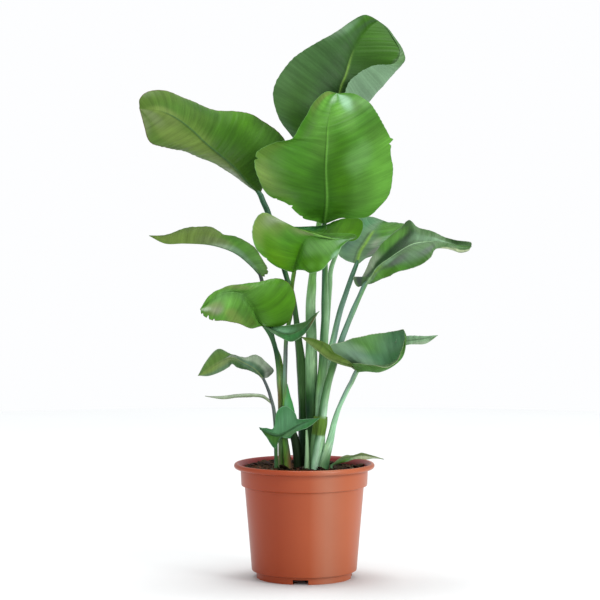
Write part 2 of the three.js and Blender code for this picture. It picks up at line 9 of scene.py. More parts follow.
import bpy
import numpy as np
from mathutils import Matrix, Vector


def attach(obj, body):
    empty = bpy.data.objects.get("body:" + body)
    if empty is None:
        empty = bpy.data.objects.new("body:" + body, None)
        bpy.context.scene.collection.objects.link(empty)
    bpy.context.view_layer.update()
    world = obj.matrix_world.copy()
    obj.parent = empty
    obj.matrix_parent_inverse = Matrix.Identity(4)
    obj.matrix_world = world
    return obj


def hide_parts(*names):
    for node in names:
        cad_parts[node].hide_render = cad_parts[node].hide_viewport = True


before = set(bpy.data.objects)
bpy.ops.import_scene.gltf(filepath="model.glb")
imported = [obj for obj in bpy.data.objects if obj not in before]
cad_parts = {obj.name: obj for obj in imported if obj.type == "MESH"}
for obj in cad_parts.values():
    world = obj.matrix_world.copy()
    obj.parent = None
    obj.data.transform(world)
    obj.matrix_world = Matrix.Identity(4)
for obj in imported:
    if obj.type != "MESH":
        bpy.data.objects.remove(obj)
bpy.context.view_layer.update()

MM = 0.001
BODY = "root"

# The camera: as far, as high and turned as for the photograph, whose frame is square
EYE = Vector((0.0, -3.6, 0.619))
TARGET = Vector((-0.0073, 0.0, 0.474))
LENS_MM = 127.0
SENSOR_MM = 36.0
CLIP_END = 60

# The soft boxes, in metres and watts, and the even light of the white room
LAMPS = {
    "key": {"at": (2.6, -2.2, 1.9), "target": (0, 0, 0.45), "side": 1.2, "power": 58},
    "fill": {"at": (-2.6, -2.2, 1.3), "target": (0, 0, 0.45), "side": 1.6, "power": 12},
    "front": {"at": (0.4, -4.4, 0.75), "target": (0, 0, 0.45), "side": 2.0, "power": 15},
    "top": {"at": (0, 0.8, 8.5), "target": (0, 0.8, 0), "side": 4.0, "power": 570},
}
ROOM_LIGHT = 0.68
ROOM_COLOUR = (0.985, 0.99, 1.0, 1)

# The floor, a round drum, in millimetres
FLOOR_R = 3200
FLOOR_MIDDLE_R = 20
FLOOR_DEPTH = 40
FLOOR_RINGS = 24
FLOOR_SIDES = 96

# The pot, in millimetres. Its lip is a half round, NOTCH_TURN is in radians, SHARP_ANGLE, in degrees, is the
# angle from which its edges are sharp, and CUT_BELOW is how far below the foot the notches' cutters start
RIM_R = 120
POT_H = 196
LIP_H = 9
WALL = 2.1
COLLAR_TOP_R = 108.8
COLLAR_FOOT_R = 107.6
STEP_Z = 157
BODY_TOP_R = 101.6
BODY_FOOT_R = 89.8
FOOT_R = 81.6
FOOT_H = 12
FOOT_WALL = 4
FLOOR_T = 2.6
NOTCHES = 4
NOTCH_W = 26
NOTCH_H = 8
NOTCH_TURN = 0.077
DRAINS = 8
DRAIN_R = 5
DRAIN_RING_R = 52
SHARP_ANGLE = 28
CUT_BELOW = 5

# Turned shapes close at this small radius in millimetres round the upright axis
AXIS_R = 0.5

# The soil, in millimetres. Each lump is a plane wave: its height, its rates along x and y, its turn
SOIL_Z = 185
GAP = 0.3
MOUND = {"x": -45, "y": 55, "height": 6, "reach": 62}
LUMPS = [(1.3, 0.075, 0.052, 0.4), (0.9, -0.06, 0.095, 1.9)]

# The clods of the soil: how many waves, their lengths in millimetres, how many times longer than high they
# are, the share of their sum that is used, how far from the wall they are whole, and their share at the wall
CLODS = 46
CLOD_SIZES = (3, 26)
CLOD_FLATNESS = 60
CLOD_SHARE = 0.42
CLODS_WHOLE = 6
CLODS_AT_WALL = 0.3
CLOD_SEED = 5

# The crumbs on the soil, in millimetres: how many, how far they keep from the collar, the shape and the scale
# of their gamma distributed sizes, the least size, the share of each kind and the colour of red bark
CRUMBS = 900
CRUMB_CLEAR = 9
CRUMB_SIZES = (2.2, 0.75)
CRUMB_LEAST = 0.5
CRUMB_SHARES = (0.5, 0.22, 0.12, 0.12, 0.04)
RED_BARK = (0.09, 0.035, 0.02)
CRUMB_SEED = 11

# A crumb's form: its sides, how many times longer than broad it may be and how steeply it may lean. Its rings
# have heights, more or less by CRUMB_UNEVEN, and breadths, times a number in CRUMB_ROUGH, as shares of its
# size. The heights are pressed by CRUMB_FLATNESS, and CRUMB_RAISED is how far its middle is over the soil
CRUMB_SIDES = 7
CRUMB_LENGTHS = (0.8, 1.9)
CRUMB_LEAN = 0.5
CRUMB_HEIGHTS = (-0.45, 0.1, 0.5)
CRUMB_UNEVEN = 0.12
CRUMB_BREADTHS = (0.6, 1.0, 0.5)
CRUMB_ROUGH = (0.7, 1.2)
CRUMB_FLATNESS = 0.8
CRUMB_RAISED = 0.15

# The blades, in millimetres: how far from the midrib the margins start and end, the thickness of the sheet,
# the midrib's half width at the tip and what it gains to the neck, its height above and its depth below. The
# rest are shares: what the sheet loses at the margin and the midrib at the tip, the breadth of the ridge, and
# the place and depth of the valley beside it, both beside the midrib's half width
NECK = 3
TIP = 1
SHEET_T = 0.62
RIB_TIP_R = 0.5
RIB_GAIN = 2.0
RIDGE_H = 0.75
RIB_DEPTH = 2.6
MARGIN_LOSS = 0.5
TIP_LOSS = 0.8
RIDGE_BREADTH = 0.8
VALLEY_PLACE = 2.2
VALLEY_SHARE = 0.6

# The pleats of a blade, in millimetres: the even ones' height and length, and by what share of it they sway
# over what length, then the uneven ones' height and length, and how far from the midrib both are whole
PLEAT_H = 0.16
PLEAT_L = 7.3
PLEAT_SWAY = 0.6
SWAY_L = 60
FOLD_H = 0.22
FOLD_L = 17
PLEATS_WHOLE = 9

# Shares of a blade: the place of a roll's crest between midrib and margin, how soon a bow is full, which is
# sooner the smaller it is, how far the ripples of the two halves are apart, and the height and the count of
# the margin's small waves
CREST_PLACE = 0.62
BOW_POWER = 0.6
HALVES_APART = 3.1
FRAY = 0.003
FRAY_COUNT = 22

# The paint of a blade: the ground's weight beside the tints, a half blade's width beside its length, how dark
# the painted shadow along the midrib is, its place and breadth beside the midrib's half width, the shares of
# the midrib's and the hem's paint, and the shares of the blade over which midrib and lower face fade out
GROUND_WEIGHT = 0.12
ACROSS_SHARE = 0.5
RIB_SHADOW_SHARE = 0.4
RIB_SHADOW_PLACE = 1.7
RIB_SHADOW_BREADTH = 0.6
VEIN_SHARE = 0.9
HEM_SHARE = 0.75
VEIN_FADE = 0.12
UNDER_FADE = 0.1

# The stalks: the height in millimetres where they end in the soil, and round them in radians the channel's
# breadth and the place, breadth and height of the rib on either side of it
ROOTED_Z = 148
CHANNEL_BREADTH = 0.42
EDGE_TURN = 0.85
EDGE_BREADTH = 0.2
EDGE_SHARE = 0.035

# How much a stalk swells and narrows, as a share of its radius, and over what length in millimetres
SWELL = 0.02
SWELL_L = 70

# Where a stalk runs on below its blade, in millimetres: how far along the midrib, how deep below its start
# and at its own end, and its radius there. JOIN_AHEAD is the share of the midrib that shows its direction
JOIN_REACH = 11
JOIN_DEPTHS = (0.8, 1.6)
JOIN_R = 1.2
JOIN_AHEAD = 0.02

# The streaks of each seed are taken this many millimetres apart, so that no two pieces share them
GRAIN_GAP = 1000

# The first seeds of stalks, sheaths, lobes, the wings of sheaths and the fray of the margins
STALK_SEED = 61
SHEATH_SEED = 91
LOBE_SEED = 31
WING_SEED = 7
FRAY_SEED = 40

# Paints of leaf, stalk and soil, as they look in daylight: red, green, blue from 0 to 255
PAINTS = {
  "deep": (48, 98, 16),
  "fern": (58, 104, 26),
  "forest": (72, 112, 60),
  "bottle": (62, 100, 52),
  "spruce": (38, 80, 32),
  "teal": (66, 108, 68),
  "grass": (76, 138, 38),
  "vivid": (94, 150, 16),
  "lawn": (92, 148, 56),
  "bright": (103, 165, 62),
  "leaf": (82, 130, 50),
  "moss": (88, 124, 78),
  "olive": (94, 130, 50),
  "drab": (88, 120, 46),
  "straw": (112, 135, 70),
  "hay": (128, 148, 94),
  "khaki": (152, 160, 130),
  "ash": (150, 158, 146),
  "sage": (114, 152, 114),
  "slate": (96, 128, 94),
  "mint": (108, 160, 84),
  "mist": (137, 176, 138),
  "frost": (150, 190, 146),
  "silver": (160, 172, 150),
  "midrib": (140, 186, 82),
  "cream": (200, 212, 170),
  "umber": (104, 80, 52),
  "plum": (84, 60, 60),
  "night": (34, 66, 44),
  "ivy": (46, 92, 60),
  "jade": (96, 152, 108),
  "celadon": (150, 200, 158),
  "reed": (110, 155, 105),
  "pistachio": (135, 178, 130),
  "glow": (180, 224, 168),
  "dew": (174, 212, 180),
  "agave": (100, 138, 116),
  "eucalypt": (122, 155, 138),
  "flint": (100, 112, 103),
  "iron": (76, 84, 84),
  "black": (34, 52, 28),
  "emerald": (66, 136, 74),
  "lime": (112, 180, 68),
  "pine": (14, 58, 14),
  "pearl": (178, 198, 168),
  "parrot": (74, 134, 12),
  "herb": (60, 112, 18),
  "wheat": (126, 154, 74),
}

# Each leaf. rib, left and right are the midrib and the margins as seen on the upper face, crest the crest of
# a half that rolls over. bow is how far each half bulges, sweep how far the margins' places run ahead of the
# midrib's, stalk and thick the stalk's path and its radii from the soil up. The rest is its finish: paint is
# the ground colour, tints are places of another colour (along from 0 to 1, across from -1 to 1, reach,
# paint), vein the colour of the midrib, how far up it shows and its breadth, hem the colour and width of the
# margin, under the colour of the lower face, its share and how far up it reaches, ripple the height and the
# count of the margin's waves, lean how far the streaks lean to the tip, nicks are tears of the margin (side,
# along, half width, depth as a share of the half). Beside the leaves' own colours, the paints and tints hold
# painted shade in folds and hollows and where blades shade each other, and painted highlights where they
# catch a sheen.
LEAVES = {
  "top": {
    "rib": [[37, 40, 675], [51, 56, 765], [62, 72, 833], [72, 82, 861], [83, 98, 898], [96, 114, 924],
      [112, 134, 947], [130, 158, 962]],
    "left": [[1, 16, 721], [-21, 17, 752], [-40, 19, 777], [-49, 23, 800], [-53, 28, 818], [-52, 34, 836],
      [-43, 44, 857], [-13, 66, 894], [45, 94, 931], [80, 116, 956], [103, 134, 969], [117, 147, 968]],
    "crest": [[65, 62, 731], [91, 80, 783], [112, 84, 818], [142, 86, 849], [166, 94, 877], [174, 104, 892],
      [169, 118, 910], [157, 132, 930], [146, 146, 948]],
    "right": [[54, 20, 729], [61, 0, 788], [70, 6, 829], [79, 14, 848], [100, 28, 864], [125, 48, 876],
      [155, 76, 880], [167, 110, 903], [156, 128, 928], [144, 144, 948]],
    "bow": [6, 0],
    "paint": "bottle",
    "tints": [(0.9, -0.7, 0.08, "herb"), (0.9, 0.1, 0.1, "herb"), (0.8, 0.3, 0.1, "fern"),
              (0.8, -0.8, 0.06, "sage"), (0.75, -0.9, 0.05, "slate"), (0.65, -0.8, 0.15, "bottle"),
              (0.55, -0.2, 0.15, "bottle"), (0.55, -0.8, 0.12, "forest"), (0.4, -0.9, 0.1, "moss"),
              (0.3, -0.7, 0.15, "fern"), (0.3, -0.4, 0.1, "forest"), (0.7, 0.2, 0.12, "fern"),
              (0.7, 0.5, 0.08, "herb"), (0.65, 0.9, 0.08, "leaf"), (0.2, -0.95, 0.06, "slate")],
    "vein": ("midrib", 0.74, 1.3), "hem": ("moss", 0.8), "under": ("mist", 0.85, 0.62),
    "ripple": (1.5, 3.0), "lean": 0.2,
    "sweep": [0.05, 0],
    "stalk": [[10, 10, 189], [12, 10, 234], [12, 10, 278], [12, 9, 306], [12, 8, 351], [12, 8, 378],
      [12, 7, 416], [11, 9, 443], [11, 12, 470], [13, 15, 497], [15, 18, 521], [25, 30, 601]],
    "thick": [8.5, 8.5, 9.4, 10.2, 10.4, 10.2, 9, 8.9, 8.5, 7.5, 6.5, 5, 3.9],
  },
  "centre": {
    "rib": [[34, -28, 603], [38, -66, 644], [36, -78, 695], [38, -72, 737], [40, -58, 769], [47, -30, 805],
      [55, 0, 825]],
    "left": [[17, -50, 608], [0, -74, 612], [-9, -88, 619], [-29, -100, 637], [-53, -108, 648],
      [-68, -112, 663], [-79, -112, 689], [-81, -108, 717], [-66, -104, 732], [-29, -98, 742],
      [-17, -92, 749], [3, -72, 783], [21, -44, 814], [38, -16, 827]],
    "right": [[60, -54, 613], [84, -76, 613], [108, -92, 617], [128, -102, 635], [141, -108, 658],
      [146, -106, 688], [143, -98, 718], [143, -88, 743], [125, -62, 782], [107, -30, 810],
      [81, -4, 824]],
    "bow": [-9, -9],
    "paint": "grass",
    # Among the tints, mint, celadon and frost on the right half and at the tip are a painted sheen, and herb
    # at the very margin of the left half is a painted shadow
    "tints": [(0.2, -0.2, 0.1, "deep"), (0.2, 0.4, 0.08, "herb"), (0.25, -0.6, 0.1, "deep"),
              (0.35, 0, 0.1, "deep"), (0.35, 0.2, 0.08, "parrot"), (0.5, 0.2, 0.08, "herb"),
              (0.35, -0.5, 0.1, "herb"), (0.5, -0.4, 0.1, "grass"), (0.55, -0.1, 0.08, "leaf"),
              (0.45, -0.7, 0.06, "leaf"), (0.35, -0.8, 0.08, "olive"), (0.5, -0.9, 0.07, "olive"),
              (0.4, -0.9, 0.05, "wheat"), (0.3, 0.6, 0.08, "lawn"), (0.4, 0.9, 0.1, "lime"),
              (0.5, 0.9, 0.08, "lime"), (0.45, 0.4, 0.06, "mint"), (0.5, 0.6, 0.05, "mint"),
              (0.6, 0.8, 0.07, "leaf"), (0.7, 0.8, 0.08, "grass"), (0.7, 0.4, 0.06, "lawn"),
              (0.75, -0.6, 0.1, "leaf"), (0.7, -0.9, 0.08, "grass"), (0.7, -0.3, 0.07, "lawn"),
              (0.75, 0, 0.06, "lawn"), (0.8, 0.7, 0.05, "leaf"), (0.85, -0.5, 0.06, "lime"),
              (0.8, 0.2, 0.05, "bright"), (0.8, 0.9, 0.06, "mint"), (0.9, 0.5, 0.07, "celadon"),
              (0.9, -0.8, 0.08, "wheat"), (0.95, 0, 0.05, "frost"), (0.3, -1, 0.05, "herb")],
    "vein": ("bright", 0.78, 0.9), "hem": ("mint", 0.8), "under": ("sage", 0.6, 1.0), "ripple": (2.0, 4.0),
    "lean": 0.4,
    "nicks": [(-1, 0.219, 0.006, 0.1), (-1, 0.285, 0.005, 0.05), (-1, 0.15, 0.012, 0.05),
              (-1, 0.47, 0.006, 0.06), (1, 0.55, 0.012, -0.05), (1, 0.53, 0.006, 0.03)],
    "sweep": [0, 0.05],
    "stalk": [[25, -2, 191], [25, -2, 235], [25, -5, 280], [26, -5, 307], [29, -6, 335], [32, -9, 362],
      [33, -11, 389], [34, -13, 417], [35, -15, 444], [35, -17, 471], [35, -19, 498], [35, -22, 529],
      [34, -26, 573]],
    "thick": [6.8, 6.6, 6.6, 7.1, 8, 8.3, 7.5, 7, 6.4, 6.3, 5.6, 5.1, 4.4, 3.9],
  },
  "left_top": {
    "rib": [[-75, 8, 654], [-94, -4, 671], [-115, -16, 696], [-139, -28, 718], [-165, -42, 739],
      [-189, -56, 762], [-215, -70, 781], [-242, -82, 792], [-273, -88, 795]],
    "left": [[-97, 14, 670], [-139, 14, 698], [-179, 4, 717], [-222, -18, 731], [-256, -40, 738],
      [-267, -66, 766]],
    "right": [[-69, 24, 668], [-55, 40, 692], [-40, 52, 722], [-34, 58, 748], [-73, 58, 782],
      [-97, 50, 794], [-149, 26, 798], [-192, -8, 812], [-228, -44, 825], [-260, -70, 823],
      [-273, -82, 811]],
    "bow": [5, 9],
    "paint": "drab",
    "tints": [(0.1, 0.3, 0.08, "fern"), (0.2, 0.3, 0.1, "fern"), (0.3, 0.7, 0.08, "lawn"),
              (0.35, 0.9, 0.08, "fern"), (0.35, 0.4, 0.1, "herb"), (0.45, 0.8, 0.1, "parrot"),
              (0.45, 0.4, 0.08, "herb"), (0.4, 0.1, 0.06, "fern"), (0.55, 0.4, 0.1, "fern"),
              (0.65, 0.4, 0.1, "drab"), (0.75, 0.4, 0.1, "leaf"), (0.85, 0.5, 0.1, "drab"),
              (0.65, 0, 0.08, "olive"), (0.75, -0.1, 0.06, "straw"), (0.85, 0, 0.06, "wheat"),
              (0.95, -0.3, 0.07, "hay"), (0.9, -0.9, 0.08, "hay"), (0.75, -0.8, 0.07, "olive"),
              (0.7, -0.5, 0.1, "wheat"), (0.55, -0.3, 0.12, "wheat"), (0.35, -0.3, 0.08, "hay"),
              (0.2, -0.4, 0.07, "silver"), (0.65, 0.7, 0.08, "fern"), (0.55, 0.7, 0.08, "fern"),
              (0.85, -0.4, 0.06, "hay")],
    "vein": ("forest", 0.9, 0.8), "hem": ("umber", 1.3), "under": ("sage", 0.6, 1.0), "ripple": (1.5, 3.0),
    "lean": 0.2,
    "stalk": [[-2, 24, 187], [-1, 25, 232], [0, 27, 277], [-1, 26, 305], [-3, 25, 332], [-6, 25, 370],
      [-10, 23, 404], [-14, 22, 442], [-21, 19, 484], [-30, 17, 511], [-47, 14, 571], [-61, 12, 620],
      [-70, 10, 641]],
    "thick": [8.7, 9.3, 9.8, 9.6, 9, 8.1, 6.4, 4.9, 4.8, 4.4, 4.6, 5, 5, 4.8],
  },
  "left_mid": {
    "rib": [[-75, -8, 515], [-90, -16, 532], [-112, -24, 551], [-135, -30, 562], [-164, -36, 569],
      [-202, -44, 571], [-233, -50, 571], [-260, -54, 584]],
    "left": [[-82, 14, 525], [-102, 42, 546], [-135, 62, 567], [-172, 62, 579], [-207, 40, 581],
      [-235, -4, 578]],
    "right": [[-65, -20, 515], [-61, -34, 529], [-76, -44, 553], [-91, -52, 570], [-114, -60, 583],
      [-134, -66, 587], [-147, -72, 594], [-160, -76, 599], [-185, -78, 599], [-205, -74, 595],
      [-234, -64, 585]],
    "bow": [-4, -6],
    "paint": "olive",
    "tints": [(0.15, 0.5, 0.1, "mint"), (0.15, 0, 0.08, "mist"), (0.25, 0.7, 0.08, "bright"),
              (0.3, 0.1, 0.07, "mist"), (0.3, 0.5, 0.1, "bright"), (0.4, 0.6, 0.08, "grass"),
              (0.4, 0, 0.07, "pearl"), (0.45, 0.3, 0.07, "hay"), (0.45, 1, 0.06, "grass"),
              (0.55, 0.2, 0.08, "hay"), (0.6, 0.6, 0.12, "wheat"), (0.7, 0.2, 0.1, "wheat"),
              (0.85, 0.4, 0.12, "wheat"), (0.95, 0.8, 0.08, "straw")],
    "vein": ("slate", 0.6, 0.7), "hem": ("silver", 0.9), "under": ("sage", 0.5, 1.0), "ripple": (1.2, 3.0),
    "lean": 0.2, "nicks": [(1, 0.05, 0.02, 0.2), (1, 0.11, 0.012, 0.12)],
    "stalk": [[-11, 7, 190], [-14, 7, 224], [-17, 7, 238], [-24, 8, 261], [-32, 9, 285], [-36, 10, 302],
      [-37, 9, 328], [-39, 8, 354], [-43, 7, 375], [-48, 6, 388], [-52, 5, 402], [-60, 3, 440],
      [-69, -2, 491]],
    "thick": [7.2, 7.2, 7, 5.5, 4.3, 4.1, 3.9, 3.9, 3.9, 3.8, 3.6, 3.4, 3.3, 3.2],
  },
  "front": {
    "rib": [[-17, -58, 522], [-10, -76, 547], [-2, -88, 571], [8, -94, 581], [29, -92, 581], [56, -84, 579],
      [83, -72, 580]],
    "left": [[-32, -68, 526], [-47, -82, 533], [-63, -100, 546], [-78, -116, 561], [-85, -128, 581],
      [-84, -130, 602], [-72, -124, 621], [-53, -114, 618], [-23, -104, 600], [6, -100, 589],
      [36, -94, 581], [64, -82, 579]],
    "right": [[-11, -62, 527], [0, -74, 525], [14, -84, 523], [28, -92, 527], [43, -96, 542],
      [54, -94, 555], [63, -88, 567], [73, -78, 575]],
    "bow": [6, 6],
    "paint": "grass",
    "tints": [(0.1, -0.4, 0.1, "parrot"), (0.25, -0.6, 0.12, "vivid"), (0.35, -0.7, 0.07, "parrot"),
              (0.35, -0.9, 0.05, "wheat"), (0.45, -0.9, 0.08, "wheat"), (0.5, -0.8, 0.05, "silver"),
              (0.45, -0.6, 0.07, "straw"), (0.4, -0.4, 0.1, "grass"), (0.3, -0.2, 0.08, "parrot"),
              (0.3, 0.5, 0.08, "parrot"), (0.4, 0.7, 0.1, "parrot"), (0.45, 0.3, 0.08, "mint"),
              (0.6, 0.5, 0.1, "mint"), (0.7, 0.5, 0.08, "mint"), (0.5, 0.9, 0.06, "bright"),
              (0.55, -0.3, 0.06, "hay"), (0.75, -0.6, 0.07, "midrib"), (0.9, -0.9, 0.08, "lime"),
              (0.3, -0.95, 0.05, "bright"), (0.65, 0.2, 0.06, "mint"), (0.8, 0.5, 0.07, "mist"),
              (0.65, 1, 0.05, "celadon"), (0.35, 0.7, 0.05, "bright")],
    "vein": ("deep", 0.5, 0.8), "hem": ("frost", 0.9), "under": ("mint", 0.5, 1.0), "ripple": (1.5, 3.0),
    "lean": 0.2, "nicks": [(-1, 0.2, 0.012, 0.05)],
    "stalk": [[-28, -8, 191], [-30, -9, 215], [-33, -10, 241], [-33, -12, 279], [-33, -13, 304],
      [-33, -14, 335], [-32, -17, 376], [-31, -19, 404], [-28, -23, 428], [-23, -29, 452],
      [-21, -42, 496]],
    "thick": [6.8, 5.9, 4.8, 4.2, 3.9, 3.8, 3.7, 3.6, 3.6, 3.7, 3.6, 3.7],
  },
  "behind": {
    "rib": [[62, -18, 573], [45, -42, 577], [23, -58, 585], [-2, -68, 594], [-29, -76, 599]],
    "left": [[87, -24, 580], [82, -40, 587], [56, -60, 588], [30, -70, 589], [3, -76, 594]],
    "right": [[88, 2, 576], [99, 22, 590], [100, 36, 607], [87, 36, 615], [68, 16, 613], [50, -20, 608],
      [35, -50, 601], [4, -64, 600]],
    "bow": [-4, -4],
    "paint": "deep",
    "tints": [(0.3, 0.5, 0.15, "vivid"), (0.3, 0.8, 0.15, "parrot"), (0.45, 0.5, 0.15, "grass"),
              (0.8, 0.5, 0.15, "emerald")],
    "vein": ("fern", 0.9, 0.8), "hem": ("mist", 0.8), "under": ("bright", 0.9, 1.0), "ripple": (0.8, 2.0),
    "lean": 0.2,
    "stalk": [[31, 14, 189], [32, 11, 268], [35, 8, 337], [37, 6, 405], [40, 4, 443], [42, 2, 471],
      [44, 0, 498], [46, -3, 529]],
    "thick": [4.3, 4.3, 4.3, 4.1, 3.8, 3.6, 3.7, 4, 3],
  },
  "right_back": {
    "rib": [[90, 30, 535], [96, 40, 555], [106, 50, 570], [117, 62, 587], [128, 80, 599], [138, 104, 609]],
    "left": [[69, 20, 542], [58, 16, 552], [63, 24, 576], [75, 44, 600], [89, 64, 612], [107, 86, 616],
      [124, 102, 614]],
    "right": [[94, 34, 535], [106, 40, 545], [118, 46, 548], [131, 52, 557], [160, 62, 581], [181, 86, 602],
      [164, 106, 605], [148, 112, 606]],
    "bow": [-6, -6],
    "paint": "sage",
    "tints": [(0.2, -0.3, 0.12, "sage"), (0.3, -0.5, 0.1, "agave"), (0.25, 0.2, 0.1, "slate"),
              (0.25, 0.7, 0.07, "ash"), (0.4, 0.4, 0.07, "silver"), (0.45, 0.6, 0.07, "mist"),
              (0.5, 0.1, 0.08, "slate"), (0.55, 0.6, 0.1, "grass"), (0.7, -0.6, 0.12, "jade"),
              (0.7, -0.2, 0.1, "sage"), (0.7, 0.5, 0.2, "parrot")],
    "vein": ("midrib", 0.66, 1.7), "hem": ("mist", 0.8), "under": ("sage", 0.5, 1.0), "ripple": (1.5, 3.0),
    "lean": 0.2,
    "sweep": [0.04, 0.04],
    "stalk": [[20, 28, 187], [25, 27, 267], [32, 27, 318], [42, 27, 377], [49, 27, 401], [55, 27, 428],
      [62, 27, 456], [71, 28, 483], [80, 29, 509], [86, 30, 525]],
    "thick": [6.5, 6, 5.8, 5.6, 5.5, 5.1, 4.8, 4.6, 4.2, 3.9, 3.7],
  },
  "right": {
    "rib": [[102, -30, 501], [111, -38, 511], [122, -46, 530], [143, -54, 546], [163, -60, 560],
      [185, -64, 571], [218, -66, 574], [246, -76, 570], [261, -90, 567], [276, -100, 566]],
    "left": [[91, -24, 497], [85, -22, 504], [83, -20, 514], [88, -16, 511], [94, -12, 509], [99, -6, 515],
      [104, 2, 525], [108, 10, 536], [112, 18, 546], [125, 28, 559], [139, 36, 574], [155, 39, 590],
      [170, 34, 600], [181, 20, 609], [192, 0, 599], [215, -24, 592], [238, -46, 581], [255, -74, 577],
      [269, -94, 575], [276, -99, 573]],
    "right": [[115, -46, 504], [132, -92, 514], [152, -126, 523], [171, -148, 532], [191, -157, 538],
      [205, -152, 549], [215, -128, 562], [231, -98, 563], [245, -96, 560], [258, -98, 556],
      [271, -100, 559]],
    "bow": [-6, 6],
    "paint": "moss",
    # The pine tints are painted shadow in the hollow of the far half, by the midrib
    "tints": [(0.1, -0.7, 0.06, "iron"), (0.2, -0.9, 0.07, "silver"), (0.25, -0.8, 0.06, "pearl"),
              (0.35, -0.8, 0.06, "grass"), (0.4, -0.8, 0.06, "lime"), (0.45, -0.8, 0.05, "bright"),
              (0.35, -0.4, 0.1, "pine"), (0.45, -0.5, 0.1, "pine"), (0.4, -0.1, 0.07, "pine"),
              (0.55, -0.4, 0.06, "sage"), (0.65, -0.4, 0.08, "sage"), (0.55, 0, 0.05, "slate"),
              (0.75, -0.8, 0.06, "moss"), (0.75, -0.5, 0.05, "mist"), (0.2, 0.8, 0.07, "lime"),
              (0.15, 0.3, 0.07, "midrib"), (0.3, 0.9, 0.07, "parrot"), (0.4, 0.6, 0.06, "flint"),
              (0.4, 0.9, 0.07, "grass"), (0.5, 0.7, 0.08, "slate"), (0.55, 0.9, 0.07, "fern"),
              (0.6, 0.7, 0.05, "flint"), (0.9, 0.4, 0.06, "forest"), (0.95, 0.1, 0.05, "fern"),
              (0.85, 1, 0.04, "cream"), (0.95, 0.8, 0.04, "cream"), (0.3, 0.3, 0.05, "mist"),
              (0.1, 0.5, 0.06, "pistachio")],
    # The midrib's pale glow paint is partly painted light, lighter to make up for the shade of the fold it
    # lies in
    "vein": ("glow", 0.76, 1.9), "hem": ("silver", 0.8), "under": ("sage", 0.5, 1.0), "ripple": (2.0, 3.0),
    "lean": 0.3,
    "stalk": [[17, -16, 192], [22, -18, 227], [27, -20, 254], [31, -23, 282], [35, -23, 309],
      [41, -23, 336], [49, -24, 363], [62, -24, 404], [72, -25, 431], [83, -27, 458], [94, -29, 483]],
    "thick": [5.9, 5.9, 6.4, 7.3, 6.8, 6.1, 5.9, 5.1, 4.8, 4.6, 4.2, 4.1],
  },
  "left_low": {
    "rib": [[-68, -24, 431], [-80, -36, 443], [-87, -54, 463], [-97, -66, 477], [-110, -78, 490],
      [-133, -92, 489], [-156, -102, 476], [-172, -106, 463]],
    "left": [[-78, -36, 430], [-89, -54, 428], [-108, -78, 437], [-130, -98, 443], [-152, -110, 445],
      [-169, -110, 454]],
    "right": [[-54, -32, 430], [-39, -40, 432], [-26, -46, 441], [-18, -50, 458], [-14, -52, 474],
      [-18, -54, 492], [-29, -56, 507], [-49, -58, 513], [-81, -64, 505], [-107, -74, 503],
      [-140, -90, 496], [-159, -100, 483]],
    "bow": [6, 9],
    "paint": "lawn",
    "tints": [(0.15, 0.2, 0.1, "lawn"), (0.2, 0.8, 0.08, "fern"), (0.25, 0.8, 0.1, "parrot"),
              (0.3, 0.4, 0.12, "parrot"), (0.35, 0.7, 0.12, "parrot"), (0.3, -0.7, 0.08, "drab"),
              (0.4, 0, 0.07, "lawn"), (0.5, 0.6, 0.1, "lawn"), (0.55, 0.3, 0.1, "lawn"),
              (0.65, 0.5, 0.08, "straw"), (0.45, -0.6, 0.1, "leaf"), (0.5, -0.9, 0.08, "wheat"),
              (0.6, -0.7, 0.05, "wheat"), (0.6, -0.3, 0.1, "bright"), (0.7, -0.1, 0.1, "mint"),
              (0.8, -0.4, 0.07, "hay"), (0.85, -0.7, 0.05, "olive"), (0.9, -0.5, 0.05, "pearl"),
              (0.5, -0.1, 0.07, "mint"), (0.8, -0.6, 0.06, "khaki")],
    "vein": ("bright", 0.5, 0.7), "hem": ("umber", 0.6), "under": ("sage", 0.5, 1.0), "ripple": (1.5, 3.0),
    "lean": 0.3, "nicks": [(-1, 0.86, 0.014, 0.2), (-1, 0.93, 0.012, 0.2), (-1, 0.79, 0.01, 0.1)],
    "stalk": [[-40, 1, 190], [-40, -2, 252], [-41, -6, 307], [-43, -9, 335], [-44, -11, 359],
      [-47, -15, 383], [-52, -18, 403], [-58, -21, 417]],
    "thick": [4.6, 4.3, 4.2, 4.1, 4.1, 4.1, 4.1, 3.9, 3.7],
    "lobes": [
      {
        "rib": [[-70, -25, 433], [-49, -42, 423], [-27, -50, 419], [-4, -54, 427], [13, -58, 443],
          [25, -60, 458]],
        "left": [[-54, -32, 431], [-27, -34, 433], [0, -40, 439], [15, -50, 451]],
        "right": [[-58, -48, 424], [-41, -62, 414], [-22, -70, 407], [-5, -70, 415], [10, -66, 431]],
        "bow": [-3, 3],
        "paint": "forest",
        "tints": [(0.1, 0.7, 0.15, "sage"), (0.3, -0.4, 0.15, "jade"),
                  (0.55, 0.7, 0.15, "emerald"), (0.7, 0.9, 0.15, "night"),
                  (0.6, 1, 0.1, "forest"), (0.9, 0.9, 0.12, "umber")],
        "vein": ("teal", 0.9, 0.7), "hem": ("mist", 0.7), "under": ("sage", 0.4, 1.0), "ripple": (0.6, 2.0),
        "lean": 0.2,
      },
    ],
  },
  "right_low": {
    "rib": [[89, -19, 353], [104, -42, 356], [124, -56, 356], [145, -64, 365], [162, -62, 379],
      [169, -52, 395], [170, -36, 411]],
    "left": [[65, -34, 372], [47, -38, 388], [45, -38, 400], [64, -34, 404], [82, -16, 410], [112, 14, 414],
      [140, 26, 417], [158, 12, 421], [168, -14, 424]],
    "right": [[80, -42, 370], [105, -66, 368], [126, -80, 366], [143, -80, 367], [158, -74, 380]],
    "bow": [-8, 4],
    "paint": "moss",
